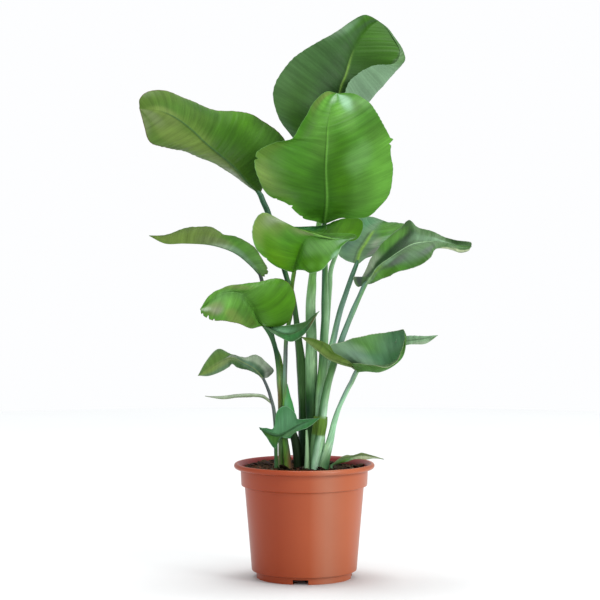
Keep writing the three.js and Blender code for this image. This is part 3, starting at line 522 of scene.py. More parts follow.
    "tints": [(0.25, -0.9, 0.08, "mist"), (0.25, -0.7, 0.1, "mist"), (0.3, -0.5, 0.1, "eucalypt"),
              (0.3, -0.3, 0.1, "mist"), (0.4, -0.7, 0.05, "frost"), (0.5, -0.7, 0.1, "lawn"),
              (0.5, -0.4, 0.1, "jade"), (0.6, -0.9, 0.08, "mint"), (0.65, -0.7, 0.12, "jade"),
              (0.65, -0.2, 0.08, "emerald"), (0.65, 0, 0.06, "emerald"), (0.8, -0.7, 0.1, "jade")],
    "vein": ("pistachio", 0.6, 0.9), "hem": ("cream", 0.7), "under": ("lawn", 0.5, 1.0), "ripple": (1.2, 3.0),
    "lean": 0.2,
    "stalk": [[34, -17, 192], [40, -16, 220], [45, -15, 240], [51, -14, 267], [60, -15, 294],
      [73, -16, 322], [80, -17, 335], [85, -18, 346]],
    "thick": [8.1, 7.3, 5.9, 4.8, 3.9, 4, 4.2, 4.4, 4.2],
    "lobes": [
      {
        "rib": [[82, -28, 363], [60, -52, 370], [40, -60, 379], [20, -62, 394], [-5, -62, 415]],
        "left": [[77, -56, 372], [60, -70, 383], [43, -74, 393], [26, -70, 408]],
        "right": [[66, -35, 373], [49, -39, 389], [42, -40, 400], [18, -54, 411]],
        "bow": [3, -3],
        "paint": "olive",
        "tints": [(0.25, -0.5, 0.1, "wheat"), (0.4, -0.3, 0.1, "straw"),
                  (0.55, -0.2, 0.1, "wheat"), (0.7, -0.1, 0.12, "wheat"),
                  (0.75, 0, 0.08, "olive"), (0.85, 0, 0.12, "hay")],
        "vein": ("hay", 0.9, 0.7), "hem": ("straw", 0.7), "under": ("olive", 0.2, 1.0), "ripple": (0.6, 2.0),
        "lean": 0.2,
      },
      {
        "rib": [[154, -2, 401], [180, -6, 404], [203, -14, 408], [226, -22, 415]],
        "left": [[160, 6, 411], [180, 4, 413], [203, -8, 413]],
        "right": [[158, -8, 394], [179, -14, 399], [203, -20, 400], [216, -22, 407]],
        "bow": [2, 2],
        "paint": "mist",
        "tints": [(0.4, 0.2, 0.2, "frost"), (0.7, 0.1, 0.2, "frost"), (0.6, 0.9, 0.15, "pearl"),
                  (0.95, 0.7, 0.08, "drab")],
        "vein": ("slate", 0.9, 0.7), "hem": ("frost", 0.7), "under": ("sage", 0.4, 1.0), "ripple": (0.3, 2.0),
        "lean": 0.2,
      },
    ],
  },
  "left_small": {
    "rib": [[-69, -6, 340], [-85, -18, 358], [-104, -32, 370], [-122, -44, 379], [-140, -56, 374],
      [-160, -64, 361], [-178, -68, 350]],
    "left": [[-78, -18, 347], [-95, -36, 357], [-111, -50, 362], [-121, -52, 368], [-127, -50, 363],
      [-141, -54, 355], [-160, -62, 349]],
    "right": [[-60, 4, 343], [-52, 16, 353], [-65, 20, 366], [-83, 14, 379], [-101, -4, 376],
      [-116, -26, 380], [-128, -48, 388], [-141, -64, 395], [-152, -72, 390], [-166, -72, 372]],
    "bow": [-2, 3],
    "paint": "slate",
    "tints": [(0.1, 0.2, 0.08, "night"), (0.1, 0.6, 0.1, "ash"), (0.2, 0.2, 0.07, "slate"),
              (0.25, 0.6, 0.1, "pearl"), (0.25, 0, 0.08, "agave"), (0.3, -1, 0.08, "night"),
              (0.4, -0.7, 0.08, "bottle"), (0.5, -0.4, 0.08, "bottle"), (0.6, -0.3, 0.1, "hay"),
              (0.8, 0.5, 0.15, "olive"), (0.85, -0.2, 0.15, "wheat"), (0.25, 0.8, 0.06, "pearl"),
              (0.35, 0.4, 0.06, "pearl"), (0.55, 0.2, 0.05, "ash")],
    "vein": ("hay", 0.95, 0.6), "hem": ("silver", 0.7), "under": ("ash", 0.4, 1.0), "ripple": (0.8, 2.0),
    "lean": 0.3,
    "stalk": [[-48, -9, 191], [-49, -12, 253], [-51, -13, 281], [-53, -13, 294], [-57, -12, 308],
      [-61, -11, 321]],
    "thick": [3.4, 3.2, 3.1, 3, 2.9, 2.7, 2.5],
  },
  "left_dry": {
    "rib": [[-56, -13, 298], [-68, -22, 310], [-88, -36, 314], [-113, -50, 314], [-138, -62, 312],
      [-166, -72, 316]],
    "left": [[-71, -20, 308], [-91, -33, 311], [-113, -47, 311], [-138, -60, 310]],
    "right": [[-68, -25, 314], [-91, -39, 318], [-114, -53, 318], [-138, -65, 316]],
    "bow": [1, 1],
    "paint": "khaki",
    "tints": [(0.1, -0.3, 0.15, "pearl"), (0.35, 0.3, 0.25, "pearl"), (0.6, 0.3, 0.25, "pearl"),
              (0.85, 0.5, 0.15, "pearl"), (0.95, 0.7, 0.06, "umber")],
    "vein": ("hay", 0.9, 0.6), "hem": ("ash", 0.6), "under": ("ash", 0.4, 1.0), "ripple": (0.4, 2.0),
    "lean": 0.2,
  },
  "low_right": {
    "rib": [[46, -25, 194], [62, -26, 203], [81, -28, 208], [97, -38, 212], [116, -46, 211],
      [134, -52, 208]],
    "left": [[57, -18, 204], [71, -18, 211], [84, -22, 211], [98, -32, 216], [114, -44, 214]],
    "right": [[57, -22, 196], [72, -32, 201], [87, -42, 207], [104, -48, 207], [117, -50, 209]],
    "bow": [2, 2],
    "paint": "hay",
    "tints": [(0.2, 0.6, 0.15, "lawn"), (0.4, 1, 0.12, "frost"), (0.55, 1, 0.15, "cream"),
              (0.75, 0.4, 0.15, "cream"), (0.9, 0.9, 0.12, "pearl"), (1, 0.7, 0.05, "umber")],
    "vein": ("moss", 0.9, 0.8), "hem": ("hay", 0.6), "under": ("sage", 0.4, 1.0), "ripple": (0.4, 2.0),
    "lean": 0.2,
    "stalk": [[46, -26, 185]],
    "thick": [2.6, 2.4],
  },
}

# Sheaths: the clasping foot of a leaf, round a stalk or standing by itself
SHEATHS = {
  "left": {
    "path": [[-33, -11, 241], [-26, -12, 274], [-27, -12, 294], [-29, -12, 308], [-30, -12, 321],
      [-31, -12, 332]],
    "thick": [10.2, 10.5, 8.5, 6.3, 4.1, 2.5],
    "blade": {
      "rib": [[-76, -40, 260], [-61, -30, 251], [-46, -22, 246], [-31, -25, 251], [-12, -38, 263],
        [6, -52, 272], [26, -60, 278]],
      "left": [[-64, -26, 242], [-50, -14, 222], [-41, -22, 241], [-29, -30, 242], [-12, -46, 254],
        [8, -58, 263]],
      "right": [[-65, -34, 259], [-51, -22, 258], [-47, -16, 284], [-33, -19, 295], [-17, -24, 285],
        [-12, -34, 274], [6, -50, 276]],
      "bow": [2, 2],
      "paint": "emerald",
      "tints": [(0.05, -0.9, 0.12, "forest"), (0.25, -0.4, 0.12, "lawn"),
                (0.3, 0.9, 0.12, "emerald"), (0.4, 0.4, 0.2, "jade"), (0.55, -0.5, 0.12, "reed"),
                (0.7, -0.2, 0.12, "jade"), (0.85, -0.4, 0.12, "emerald"), (1, -1, 0.1, "lawn")],
      "vein": ("teal", 0.9, 0.7), "hem": ("celadon", 0.8), "under": ("jade", 0.1, 1.0), "ripple": (0.5, 2.0),
      "lean": 0.2,
    },
  },
  "right": {
    "path": [[20, -8, 150], [20, -8, 191], [21, -9, 215], [23, -10, 239], [27, -10, 263], [28, -10, 276]],
    "thick": [9.3, 9.3, 11, 11.9, 12.1, 11.5],
  },
  "pale": {
    "path": [[5, -9, 150], [5, -9, 191], [5, -9, 226], [4, -8, 253]],
    "thick": [4.8, 4.8, 3.4, 2],
  },
}

# The skin of each stalk and sheath: the way that its channel faces, in degrees from the left round by the
# front, the channel's depth as a share of the radius, and its paints. Each line of paints is for a height in
# millimetres, and runs from the left edge over the front to the right edge. Beside the stalks' own colours
# the paints hold painted light and shade: edges lighter and darker as the light falls on them, and darker
# where the stalks stand in each other's shade.
SKINS = {
  "top": (75, 0.12, [
    (200, "reed", "spruce", "bottle", "reed"),
    (240, "forest", "bottle", "spruce", "bottle"),
    (286, "night", "night", "forest", "olive"),
    (312, "spruce", "spruce", "teal", "forest"),
    (337, "forest", "reed", "reed", "forest"),
    (363, "reed", "pistachio", "glow", "reed"),
    (414, "forest", "reed", "pistachio", "frost"),
    (440, "forest", "reed", "teal", "reed"),
    (465, "pistachio", "pistachio", "glow", "pistachio"),
    (500, "frost", "mint", "mint", "pistachio"),
  ]),
  "centre": (95, 0.2, [
    (200, "celadon", "dew", "celadon", "dew"),
    (240, "reed", "celadon", "dew", "celadon"),
    (312, "forest", "pistachio", "celadon", "forest"),
    (337, "teal", "mint", "pistachio", "glow"),
    (380, "forest", "teal", "reed", "pistachio"),
    (440, "ivy", "teal", "pistachio", "dew"),
    (520, "flint", "ivy", "forest", "frost"),
  ]),
  "left_top": (100, 0.15, [
    (200, "black", "black", "black", "black"),
    (240, "iron", "night", "spruce", "night"),
    (286, "iron", "spruce", "bottle", "bottle"),
    (312, "flint", "forest", "forest", "bottle"),
    (363, "flint", "bottle", "forest", "forest"),
    (420, "flint", "bottle", "bottle", "bottle"),
    (517, "teal", "night", "teal", "teal"),
    (640, "agave", "ivy", "agave", "teal"),
  ]),
  "left_mid": (80, 0.1, [
    (200, "black", "black", "black", "black"),
    (240, "flint", "black", "black", "black"),
    (300, "olive", "lawn", "leaf", "grass"),
    (337, "glow", "reed", "forest", "forest"),
    (365, "drab", "drab", "drab", "drab"),
    (400, "teal", "night", "ivy", "ivy"),
    (490, "iron", "iron", "flint", "iron"),
  ]),
  "front": (80, 0.12, [
    (200, "olive", "olive", "umber", "plum"),
    (225, "leaf", "leaf", "bottle", "plum"),
    (300, "lawn", "leaf", "leaf", "grass"),
    (350, "flint", "agave", "flint", "flint"),
    (388, "flint", "flint", "iron", "flint"),
    (414, "lawn", "leaf", "bottle", "bottle"),
    (490, "reed", "leaf", "drab", "bottle"),
  ]),
  "behind": (90, 0.15, [
    (300, "teal", "reed", "pistachio", "frost"),
    (520, "reed", "reed", "pistachio", "frost"),
  ]),
  "right_back": (110, 0.15, [
    (340, "pistachio", "glow", "frost", "reed"),
    (414, "agave", "celadon", "eucalypt", "eucalypt"),
    (450, "agave", "agave", "eucalypt", "eucalypt"),
    (530, "ivy", "agave", "ivy", "teal"),
  ]),
  "right": (90, 0.2, [
    (200, "teal", "celadon", "dew", "dew"),
    (244, "bottle", "teal", "dew", "celadon"),
    (247, "drab", "drab", "olive", "drab"),
    (276, "drab", "olive", "olive", "drab"),
    (279, "bottle", "teal", "dew", "celadon"),
    (312, "bottle", "teal", "pistachio", "pistachio"),
    (363, "forest", "forest", "forest", "ash"),
    (414, "ivy", "agave", "eucalypt", "eucalypt"),
    (480, "agave", "agave", "reed", "reed"),
  ]),
  "left_low": (80, 0.12, [
    (200, "khaki", "hay", "leaf", "spruce"),
    (240, "bottle", "reed", "reed", "reed"),
    (310, "khaki", "umber", "drab", "olive"),
    (340, "ash", "moss", "straw", "glow"),
    (363, "forest", "bottle", "bottle", "drab"),
    (390, "teal", "night", "night", "ivy"),
    (420, "forest", "teal", "teal", "moss"),
  ]),
  "right_low": (85, 0.15, [
    (196, "frost", "reed", "teal", "teal"),
    (212, "dew", "frost", "reed", "reed"),
    (226, "dew", "glow", "dew", "celadon"),
    (236, "reed", "celadon", "celadon", "celadon"),
    (262, "reed", "celadon", "celadon", "celadon"),
    (310, "agave", "eucalypt", "celadon", "dew"),
    (340, "ash", "eucalypt", "frost", "frost"),
  ]),
  "left_small": (80, 0.1, [
    (240, "flint", "teal", "bottle", "bottle"),
    (290, "iron", "iron", "flint", "iron"),
    (330, "iron", "iron", "iron", "flint"),
  ]),
  "low_right": (90, 0.2, [
    (185, "bottle", "teal", "slate", "bottle"),
  ]),
  "sheath_left": (70, 0.1, [
    (250, "emerald", "emerald", "emerald", "emerald"),
    (300, "emerald", "jade", "emerald", "emerald"),
    (330, "leaf", "mint", "emerald", "emerald"),
  ]),
  "sheath_right": (60, 0.1, [
    (200, "teal", "reed", "dew", "celadon"),
    (243, "forest", "reed", "glow", "celadon"),
    (247, "drab", "drab", "olive", "drab"),
    (276, "olive", "drab", "olive", "drab"),
  ]),
  "sheath_pale": (90, 0.1, [
    (200, "reed", "frost", "glow", "reed"),
    (250, "frost", "glow", "frost", "forest"),
  ]),
}

# The turns in degrees of the four paints, of the back's paint and of the first paint again
SKIN_TURNS = (0, 60, 120, 180, 270, 360)
SKIN_BACK = "ivy"

# What a paint's surface sends back for each unit of its looks: the studio's light is brighter than one
STUDIO_SHARE = 0.76

# A stalk's share of light beside a leaf's, for the shade that it stands in
STALK_SHARE = 1.3

# Between these two values lies most of a noise
NOISE_SPAN = (0.3, 0.7)

# Fineness of the surfaces
ROW_STEP = 1.15
FEWEST_ROWS = 24
MOST_ROWS = 230
HALF_COLUMNS = 30
STALK_RINGS = 110
SHEATH_RINGS = 60
STALK_SIDES = 36
CURVE_STEPS = 720
POT_SIDES = 192
LIP_STEPS = 17
DRAIN_SIDES = 24
SOIL_RINGS = 110
SOIL_SIDES = 220


def unit(vectors):
    """Each vector divided by its length."""
    return vectors / np.maximum(np.linalg.norm(vectors, axis=-1, keepdims=True), 1e-9)


def bell(x, breadth):
    """A smooth hump: one where x is nothing, and falling away to both sides over the breadth."""
    return np.exp(-((x / breadth) ** 2))


def daylight(name):
    """The red, green and blue that a paint's surface sends back, to look as named in this studio's light."""
    c = np.array(PAINTS[name]) / 255
    return STUDIO_SHARE * np.where(c <= 0.04045, c / 12.92, ((c + 0.055) / 1.055) ** 2.4)


def painted(colour, mask, name):
    """The colours carried to a paint by the mask's share."""
    return colour + mask[..., None] * (daylight(name) - colour)


def wave(x, seed):
    """A smooth random wave of x between about -1 and 1: five sines, from half to twice as long as one."""
    rng = np.random.default_rng(seed)
    rates = rng.uniform(0.5, 2.0, 5)
    phases = rng.uniform(0, 2 * np.pi, 5)
    return sum(np.sin(2 * np.pi * r * x + p) for r, p in zip(rates, phases)) / 2.6


def dense_curve(points):
    """A smooth curve through the points and the length up to each of its places.

    Between two points it is the cubic whose slope at each is half the step between that point's neighbours.
    Past the ends the neighbours are mirrored.
    """
    p = np.asarray(points, float)
    p = np.vstack([2 * p[0] - p[1], p, 2 * p[-1] - p[-2]])
    u = np.linspace(0, len(p) - 3, CURVE_STEPS + 1)
    i = np.minimum(u.astype(int), len(p) - 4)
    f = (u - i)[:, None]
    before, here, there, after = (p[i + k] for k in range(4))
    line = (2 * f**3 - 3 * f**2 + 1) * here + (f**3 - 2 * f**2 + f) * (there - before) / 2
    line = line + (3 * f**2 - 2 * f**3) * there + (f**3 - f**2) * (after - here) / 2
    steps = np.linalg.norm(np.diff(line, axis=0), axis=1)
    return line, np.concatenate([[0.0], np.cumsum(steps)])


def read_curve(points, at):
    """The curve's places at fractions of its length."""
    line, length = dense_curve(points)
    x = np.clip(at, 0, 1) * length[-1]
    return np.stack([np.interp(x, length, line[:, k]) for k in range(3)], axis=-1)


def margin_points(points, rib):
    """A margin's points from the neck beside the stalk to the tip."""
    p = np.asarray(points, float)
    first = np.asarray(rib[0], float)
    last = np.asarray(rib[-1], float)
    start = first + unit(p[0] - first) * NECK
    end = last + unit(p[-1] - last) * TIP
    return np.vstack([start, p, end])


def half_blade(leaf, half, t, s):
    """The middle surface of one half of a blade, rows along t and columns across s.

    Across, each row is an arc of the second degree from the midrib to the margin. Its middle point lies off
    the straight line by the bow, or makes the arc pass through the crest of the roll.
    """
    side = (-1, 1)[half]
    foot = read_curve(leaf["rib"], t)
    along = unit(np.gradient(foot, axis=0))
    at = np.minimum(1, t + leaf.get("sweep", (0, 0))[half] * np.sin(np.pi * t))
    edge = read_curve(margin_points(leaf[("left", "right")[half]], leaf["rib"]), at)
    if half == 1 and "crest" in leaf:
        k = CREST_PLACE
        crest = read_curve(margin_points(leaf["crest"], leaf["rib"]), at)
        middle = (crest - (1 - k) ** 2 * foot - k * k * edge) / (2 * k * (1 - k))
    else:
        out = side * unit(np.cross(edge - foot, along))
        bulge = 2 * leaf["bow"][half] * np.maximum(0, np.sin(np.pi * t)) ** BOW_POWER
        middle = (foot + edge) / 2 + out * bulge[:, None]
    cut = 1 + FRAY * wave(FRAY_COUNT * t, FRAY_SEED + half)
    for nick_side, nick_at, half_width, depth in leaf.get("nicks", []):
        if nick_side == side:
            cut = cut - depth * np.clip(1 - np.abs(t - nick_at) / half_width, 0, 1)
    q = (s[None, :] * (1 + (cut[:, None] - 1) * s[None, :] ** 3))[..., None]
    foot, middle, edge = (a[:, None, :] for a in (foot, middle, edge))
    return (1 - q) ** 2 * foot + 2 * q * (1 - q) * middle + q * q * edge


def blade_grid(leaf):
    """The blade's middle surface with its rows, columns, distance from the midrib, half widths and length.

    The columns stand closer together at the midrib and at the margins.
    """
    length = dense_curve(leaf["rib"])[1][-1]
    rows = int(np.clip(length / ROW_STEP, FEWEST_ROWS, MOST_ROWS))
    t = np.linspace(0, 1, rows + 1)
    u = np.linspace(0, 1, HALF_COLUMNS + 1)
    s = np.where(u < 0.5, 0.5 * (2 * u) ** 2.0, 1 - 0.5 * (2 - 2 * u) ** 1.8)
    left = half_blade(leaf, 0, t, s)[:, :0:-1]
    right = half_blade(leaf, 1, t, s)
    points = np.concatenate([left, right], axis=1)
    s = np.concatenate([-s[:0:-1], s])
    away = np.linalg.norm(points - points[:, HALF_COLUMNS:HALF_COLUMNS + 1], axis=-1)
    width = np.where(s[None, :] < 0, away[:, :1], away[:, -1:])
    return points, t[:, None] + 0 * s[None, :], s[None, :] + 0 * t[:, None], away, width, length


def surface_normals(points):
    """Across times along, which points out of the upper face."""
    return unit(np.cross(np.gradient(points, axis=1), np.gradient(points, axis=0)))


def rib_radius(t):
    """The midrib's half width in millimetres, thinning to the tip."""
    return RIB_TIP_R + RIB_GAIN * (1 - t) ** 0.8


def blade_colour(leaf, t, s, away, width):
    """The paint of each place: the ground and the tints weighed by nearness, then the midrib and the hem.

    A painted shadow, a darker line, runs along the left of the midrib. The hem is whole up to half its width
    from the margin and gone at one and a half.
    """
    weight = np.full(t.shape, GROUND_WEIGHT)
    colour = weight[..., None] * daylight(leaf["paint"])
    for along, across, reach, name in leaf["tints"]:
        near = np.exp(-((t - along) ** 2 + (ACROSS_SHARE * (s - across)) ** 2) / reach**2)
        colour = colour + near[..., None] * daylight(name)
        weight = weight + near
    colour = colour / weight[..., None]
    vein, until, breadth = leaf["vein"]
    r = breadth * rib_radius(t)
    shown = np.clip((until - t) / VEIN_FADE, 0, 1)
    # Painted shadow: a darker line beside the midrib, on its left half
    rib_shadow = RIB_SHADOW_SHARE * shown * bell(away + RIB_SHADOW_PLACE * r * np.sign(s), RIB_SHADOW_BREADTH * r)
    colour = colour * (1 - rib_shadow[..., None])
    colour = painted(colour, VEIN_SHARE * shown * bell(away, r), vein)
    hem, hem_width = leaf["hem"]
    mask = HEM_SHARE * np.clip(1.5 - (width - away) / hem_width, 0, 1)
    return painted(colour, mask, hem)


def both_faces(upper, lower):
    """Rows that run over the upper face from left to right and back under the lower face."""
    return np.concatenate([upper, lower[:, ::-1]], axis=1)


def blade_skin(leaf, seed):
    """A blade as rings over both its faces.

    The middle surface gets the pleats between the veins and a ripple that grows to the margins. The faces
    stand half the thickness off it, with the midrib as a low ridge above and a keel below.
    """
    points, t, s, away, width, length = blade_grid(leaf)
    normal = surface_normals(points)
    side = np.sign(s)
    span = np.abs(s)
    ends = np.maximum(0, np.sin(np.pi * t)) ** 0.5
    grain = t * length - leaf["lean"] * away
    pleat = PLEAT_H * np.sin(2 * np.pi * (grain / PLEAT_L + PLEAT_SWAY * wave(grain / SWAY_L, seed)))
    pleat = pleat + FOLD_H * wave(grain / FOLD_L, seed + 1)
    pleat = pleat * np.clip(away / PLEATS_WHOLE, 0, 1) * ends
    ripple, count = leaf["ripple"]
    swell = ripple * span**4 * ends * wave(count * t + HALVES_APART * side, seed + 2)
    points = points + normal * (pleat + swell)[..., None]
    normal = surface_normals(points)
    r = rib_radius(t)
    taper = 1 - TIP_LOSS * t
    half_thick = 0.5 * SHEET_T * (1 - MARGIN_LOSS * span**6)
    valley = VALLEY_SHARE * bell(away - VALLEY_PLACE * r, r)
    ridge = RIDGE_H * taper * (bell(away, RIDGE_BREADTH * r) - valley)
    keel = RIB_DEPTH * taper * bell(away, r)
    upper = points + normal * (half_thick + ridge)[..., None]
    lower = points - normal * (half_thick + keel)[..., None]
    colour = blade_colour(leaf, t, s, away, width)
    name, share, until = leaf["under"]
    beneath = painted(colour, share * np.clip((until + UNDER_FADE - t) / UNDER_FADE, 0, 1), name)
    grain = grain + GRAIN_GAP * seed
    fibre = away * side
    return {"rings": both_faces(upper, lower), "colour": both_faces(colour, beneath),
            "grain": both_faces(grain, grain), "fibre": both_faces(fibre, fibre)}


def skin_paint(levels, z, turn):
    """The paint of each ring and side: between two heights, and between two turns, in even steps."""
    names = [(*level[1:], SKIN_BACK, level[1]) for level in levels]
    paints = np.minimum(STALK_SHARE * np.array([[daylight(name) for name in row] for row in names]), 1)
    heights = [level[0] for level in levels]
    at_height = np.empty((len(z), *paints.shape[1:]))
    for k in range(paints.shape[1]):
        for c in range(3):
            at_height[:, k, c] = np.interp(z, heights, paints[:, k, c])
    step = np.interp(np.degrees(turn), SKIN_TURNS, np.arange(len(SKIN_TURNS)))
    i = np.minimum(step.astype(int), len(SKIN_TURNS) - 2)
    f = (step - i)[:, None]
    return at_height[:, i] * (1 - f) + at_height[:, i + 1] * f


def bar_skin(path, radii, skin, seed, rings=STALK_RINGS):
    """A channelled bar along a path, with a radius for each point of the path.

    Each ring is a circle that is pressed in by a smooth dip where the channel faces, with a low rib on
    either side of it. Angles run from the left round by the front.
    """
    t = np.linspace(0, 1, rings + 1)
    lengths = dense_curve(path)[1]
    length = lengths[-1]
    centre = read_curve(path, t)
    along = unit(np.gradient(centre, axis=0))
    aside = unit(np.cross(np.array([0.0, -1.0, 0.0]), along))
    facing = np.cross(along, aside)
    channel_turn, depth, levels = skin
    a = 2 * np.pi * np.arange(STALK_SIDES) / STALK_SIDES
    turn = (a - math.radians(channel_turn) + np.pi) % (2 * np.pi) - np.pi
    dip = depth * bell(turn, CHANNEL_BREADTH)
    rib = EDGE_SHARE * bell(np.abs(turn) - EDGE_TURN, EDGE_BREADTH)
    between = np.interp(t * length, lengths, np.linspace(0, len(path) - 1, len(lengths)))
    radius = np.interp(between, np.arange(len(path)), radii) * (1 + SWELL * wave(t * length / SWELL_L, seed))
    r = radius[:, None] * (1 - dip + rib)[None, :]
    p = centre[:, None, :] + aside[:, None, :] * (r * np.cos(a))[..., None]
    p = p + facing[:, None, :] * (r * np.sin(a))[..., None]
    return {"rings": p, "colour": skin_paint(levels, centre[:, 2], a),
            "grain": radius[:, None] * a[None, :] + GRAIN_GAP * seed,
            "fibre": t[:, None] * length + 0 * a[None, :]}


def turned_rings(profile, sides):
    """Rings of a profile of radius and height turned about the upright axis."""
    profile = np.asarray(profile, float)
    a = 2 * np.pi * np.arange(sides) / sides
    x = profile[:, :1] * np.cos(a)
    y = profile[:, :1] * np.sin(a)
    z = profile[:, 1:] + 0 * x
    return np.stack([x, y, z], axis=-1)


def skin_faces(count, size, start):
    """The faces of a closed skin on count rings of size points: quads between rings, a cap at both ends."""
    i, k = np.meshgrid(np.arange(count - 1), np.arange(size), indexing="ij")
    a = start + i * size + k
    b = start + i * size + (k + 1) % size
    quads = np.stack([a, b, b + size, a + size], axis=-1).reshape(-1, 4)
    first = start + np.arange(size)[::-1]
    last = start + (count - 1) * size + np.arange(size)
    return quads, [first, last]


def new_object(name, data):
    """An object in the scene for a mesh, a lamp or a camera."""
    made = bpy.data.objects.new(name, data)
    bpy.context.scene.collection.objects.link(made)
    return made


def new_piece(name, skins, smooth_angle=None):
    """A mesh object from skins, each a dictionary of rings and what is kept at their points.

    The rings are in millimetres. A skin may hold colour, grain and fibre, which become attributes.
    """
    points, quads, caps = [], [], []
    kept = {key: [] for key in ("colour", "grain", "fibre")}
    start = 0
    for skin in skins:
        rings = skin["rings"]
        count, size = rings.shape[:2]
        q, c = skin_faces(count, size, start)
        quads.append(q)
        caps += c
        points.append(rings.reshape(-1, 3))
        for key in kept:
            if key in skin:
                kept[key].append(skin[key].reshape(count * size, -1))
        start += count * size
    points = np.concatenate(points) * MM
    quads = np.concatenate(quads)
    sizes = np.concatenate([np.full(len(quads), 4), [len(c) for c in caps]])
    corners = np.concatenate([quads.ravel()] + caps)
    starts = np.concatenate([[0], np.cumsum(sizes)[:-1]])
    mesh = bpy.data.meshes.new(name)
    mesh.vertices.add(len(points))
    mesh.vertices.foreach_set("co", points.astype(np.float32).ravel())
    mesh.loops.add(len(corners))
    mesh.loops.foreach_set("vertex_index", corners.astype(np.int32))
    mesh.polygons.add(len(sizes))
    mesh.polygons.foreach_set("loop_start", starts.astype(np.int32))
    mesh.polygons.foreach_set("use_smooth", np.ones(len(sizes), bool))
    mesh.update(calc_edges=True)
    if kept["colour"]:
        rgb = np.concatenate(kept["colour"])
        rgba = np.concatenate([rgb, np.ones((len(rgb), 1))], axis=1).astype(np.float32)
        mesh.attributes.new("tint", "FLOAT_COLOR", "POINT").data.foreach_set("color", rgba.ravel())
    for key in ("grain", "fibre"):
        if kept[key]:
            values = (np.concatenate(kept[key]).ravel() * MM).astype(np.float32)
            mesh.attributes.new(key, "FLOAT", "POINT").data.foreach_set("value", values)
    if smooth_angle is not None:
        mesh.set_sharp_from_angle(angle=math.radians(smooth_angle))
    return new_object(name, mesh)


def place(piece, node, material):
    """Gives a piece its material and stands it for a node."""
    piece.data.materials.append(material)
    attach(piece, BODY)
    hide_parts(node)


# Shader groups and materials


def socket(group, name, kind, value=None, out=False):
    """A named input or output of a shader group."""
    way = "OUTPUT" if out else "INPUT"
    made = group.interface.new_socket(name, in_out=way, socket_type="NodeSocket" + kind)
    if value is not None:
        made.default_value = value


def fill(tree, node, links):
    """Links a node's inputs to sockets or sets them to values."""
    for key, value in links.items():
        if isinstance(value, bpy.types.NodeSocket):
            tree.links.new(value, node.inputs[key])
        else:
            node.inputs[key].default_value = value
    return node


def add(tree, kind, links=None, **settings):
    """A node with its settings and its inputs filled."""
    node = tree.nodes.new("ShaderNode" + kind)
    for key, value in settings.items():
        setattr(node, key, value)
    return fill(tree, node, links or {})


def use_group(tree, group, links):
    """A shader group placed in a material, with values of its own."""
    return fill(tree, add(tree, "Group", node_tree=group), links)


def times(tree, a, b):
    """One value times another."""
    return add(tree, "Math", {0: a, 1: b}, operation="MULTIPLY").outputs[0]


def plus(tree, a, b):
    """One value and another."""
    return add(tree, "Math", {0: a, 1: b}, operation="ADD").outputs[0]


def ranged(tree, value, low, high, to_low, to_high):
    """A value carried from one range to another, held at the ends."""
    links = {"Value": value, "From Min": low, "From Max": high, "To Min": to_low, "To Max": to_high}
    return add(tree, "MapRange", links, clamp=True).outputs["Result"]


def mixed(tree, mask, a, b):
    """The colour a where the mask is nothing and b where it is one."""
    return add(tree, "Mix", {"Factor": mask, "A": a, "B": b}, data_type="RGBA").outputs["Result"]


def shaded(tree, colour, light):
    """A colour made lighter or darker by a value."""
    return add(tree, "VectorMath", {0: colour, "Scale": light}, operation="SCALE").outputs[0]


def relief(tree, height, strength, distance):
    """The normal of a fine relief, whose distance is in metres."""
    links = {"Height": height, "Strength": strength, "Distance": distance}
    return add(tree, "Bump", links).outputs["Normal"]


def kept_at_points(tree, name, out="Fac"):
    """What a mesh keeps at its points under a name."""
    return add(tree, "Attribute", attribute_name=name).outputs[out]


def fibres_group():
    """Streaks that run with the fibres: noise that is fast along the grain and slow along the fibre."""
    group = bpy.data.node_groups.new("fibres", "ShaderNodeTree")
    for name, value in (("Grain", 0.0), ("Fibre", 0.0), ("Band", 120.0), ("Fine", 900.0)):
        socket(group, name, "Float", value)
    socket(group, "Shade", "Float", out=True)
    socket(group, "Height", "Float", out=True)
    given = group.nodes.new("NodeGroupInput")
    result = group.nodes.new("NodeGroupOutput")
    layers = []
    for rate, stretch in (("Band", 0.10), ("Fine", 0.03)):
        x = times(group, given.outputs["Grain"], given.outputs[rate])
        y = times(group, times(group, given.outputs["Fibre"], given.outputs[rate]), stretch)
        at = add(group, "CombineXYZ", {"X": x, "Y": y}).outputs[0]
        noise = add(group, "TexNoise", {"Vector": at, "Scale": 1.0, "Detail": 2.0, "Roughness": 0.55})
        layers.append(noise.outputs["Fac"])
    for name, broad, fine in (("Shade", 0.62, 0.38), ("Height", 0.35, 0.65)):
        blend = plus(group, times(group, layers[0], broad), times(group, layers[1], fine))
        group.links.new(blend, result.inputs[name])
    return group


def mottle_group():
    """Soft clouds over the object, and fine specks, as values about one half."""
    group = bpy.data.node_groups.new("mottle", "ShaderNodeTree")
    socket(group, "Cloud", "Float", 14.0)
    socket(group, "Speck", "Float", 260.0)
    socket(group, "Clouds", "Float", out=True)
    socket(group, "Specks", "Float", out=True)
    given = group.nodes.new("NodeGroupInput")
    result = group.nodes.new("NodeGroupOutput")
    at = group.nodes.new("ShaderNodeTexCoord").outputs["Object"]
    for rate, out, detail in (("Cloud", "Clouds", 3.0), ("Speck", "Specks", 4.0)):
        noise = add(group, "TexNoise", {"Vector": at, "Scale": given.outputs[rate], "Detail": detail})
        group.links.new(noise.outputs["Fac"], result.inputs[out])
    return group


def new_material(name):
    """A material with its tree and its Principled node."""
    material = bpy.data.materials.new(name)
    material.use_nodes = True
    tree = material.node_tree
    return material, tree, tree.nodes["Principled BSDF"]


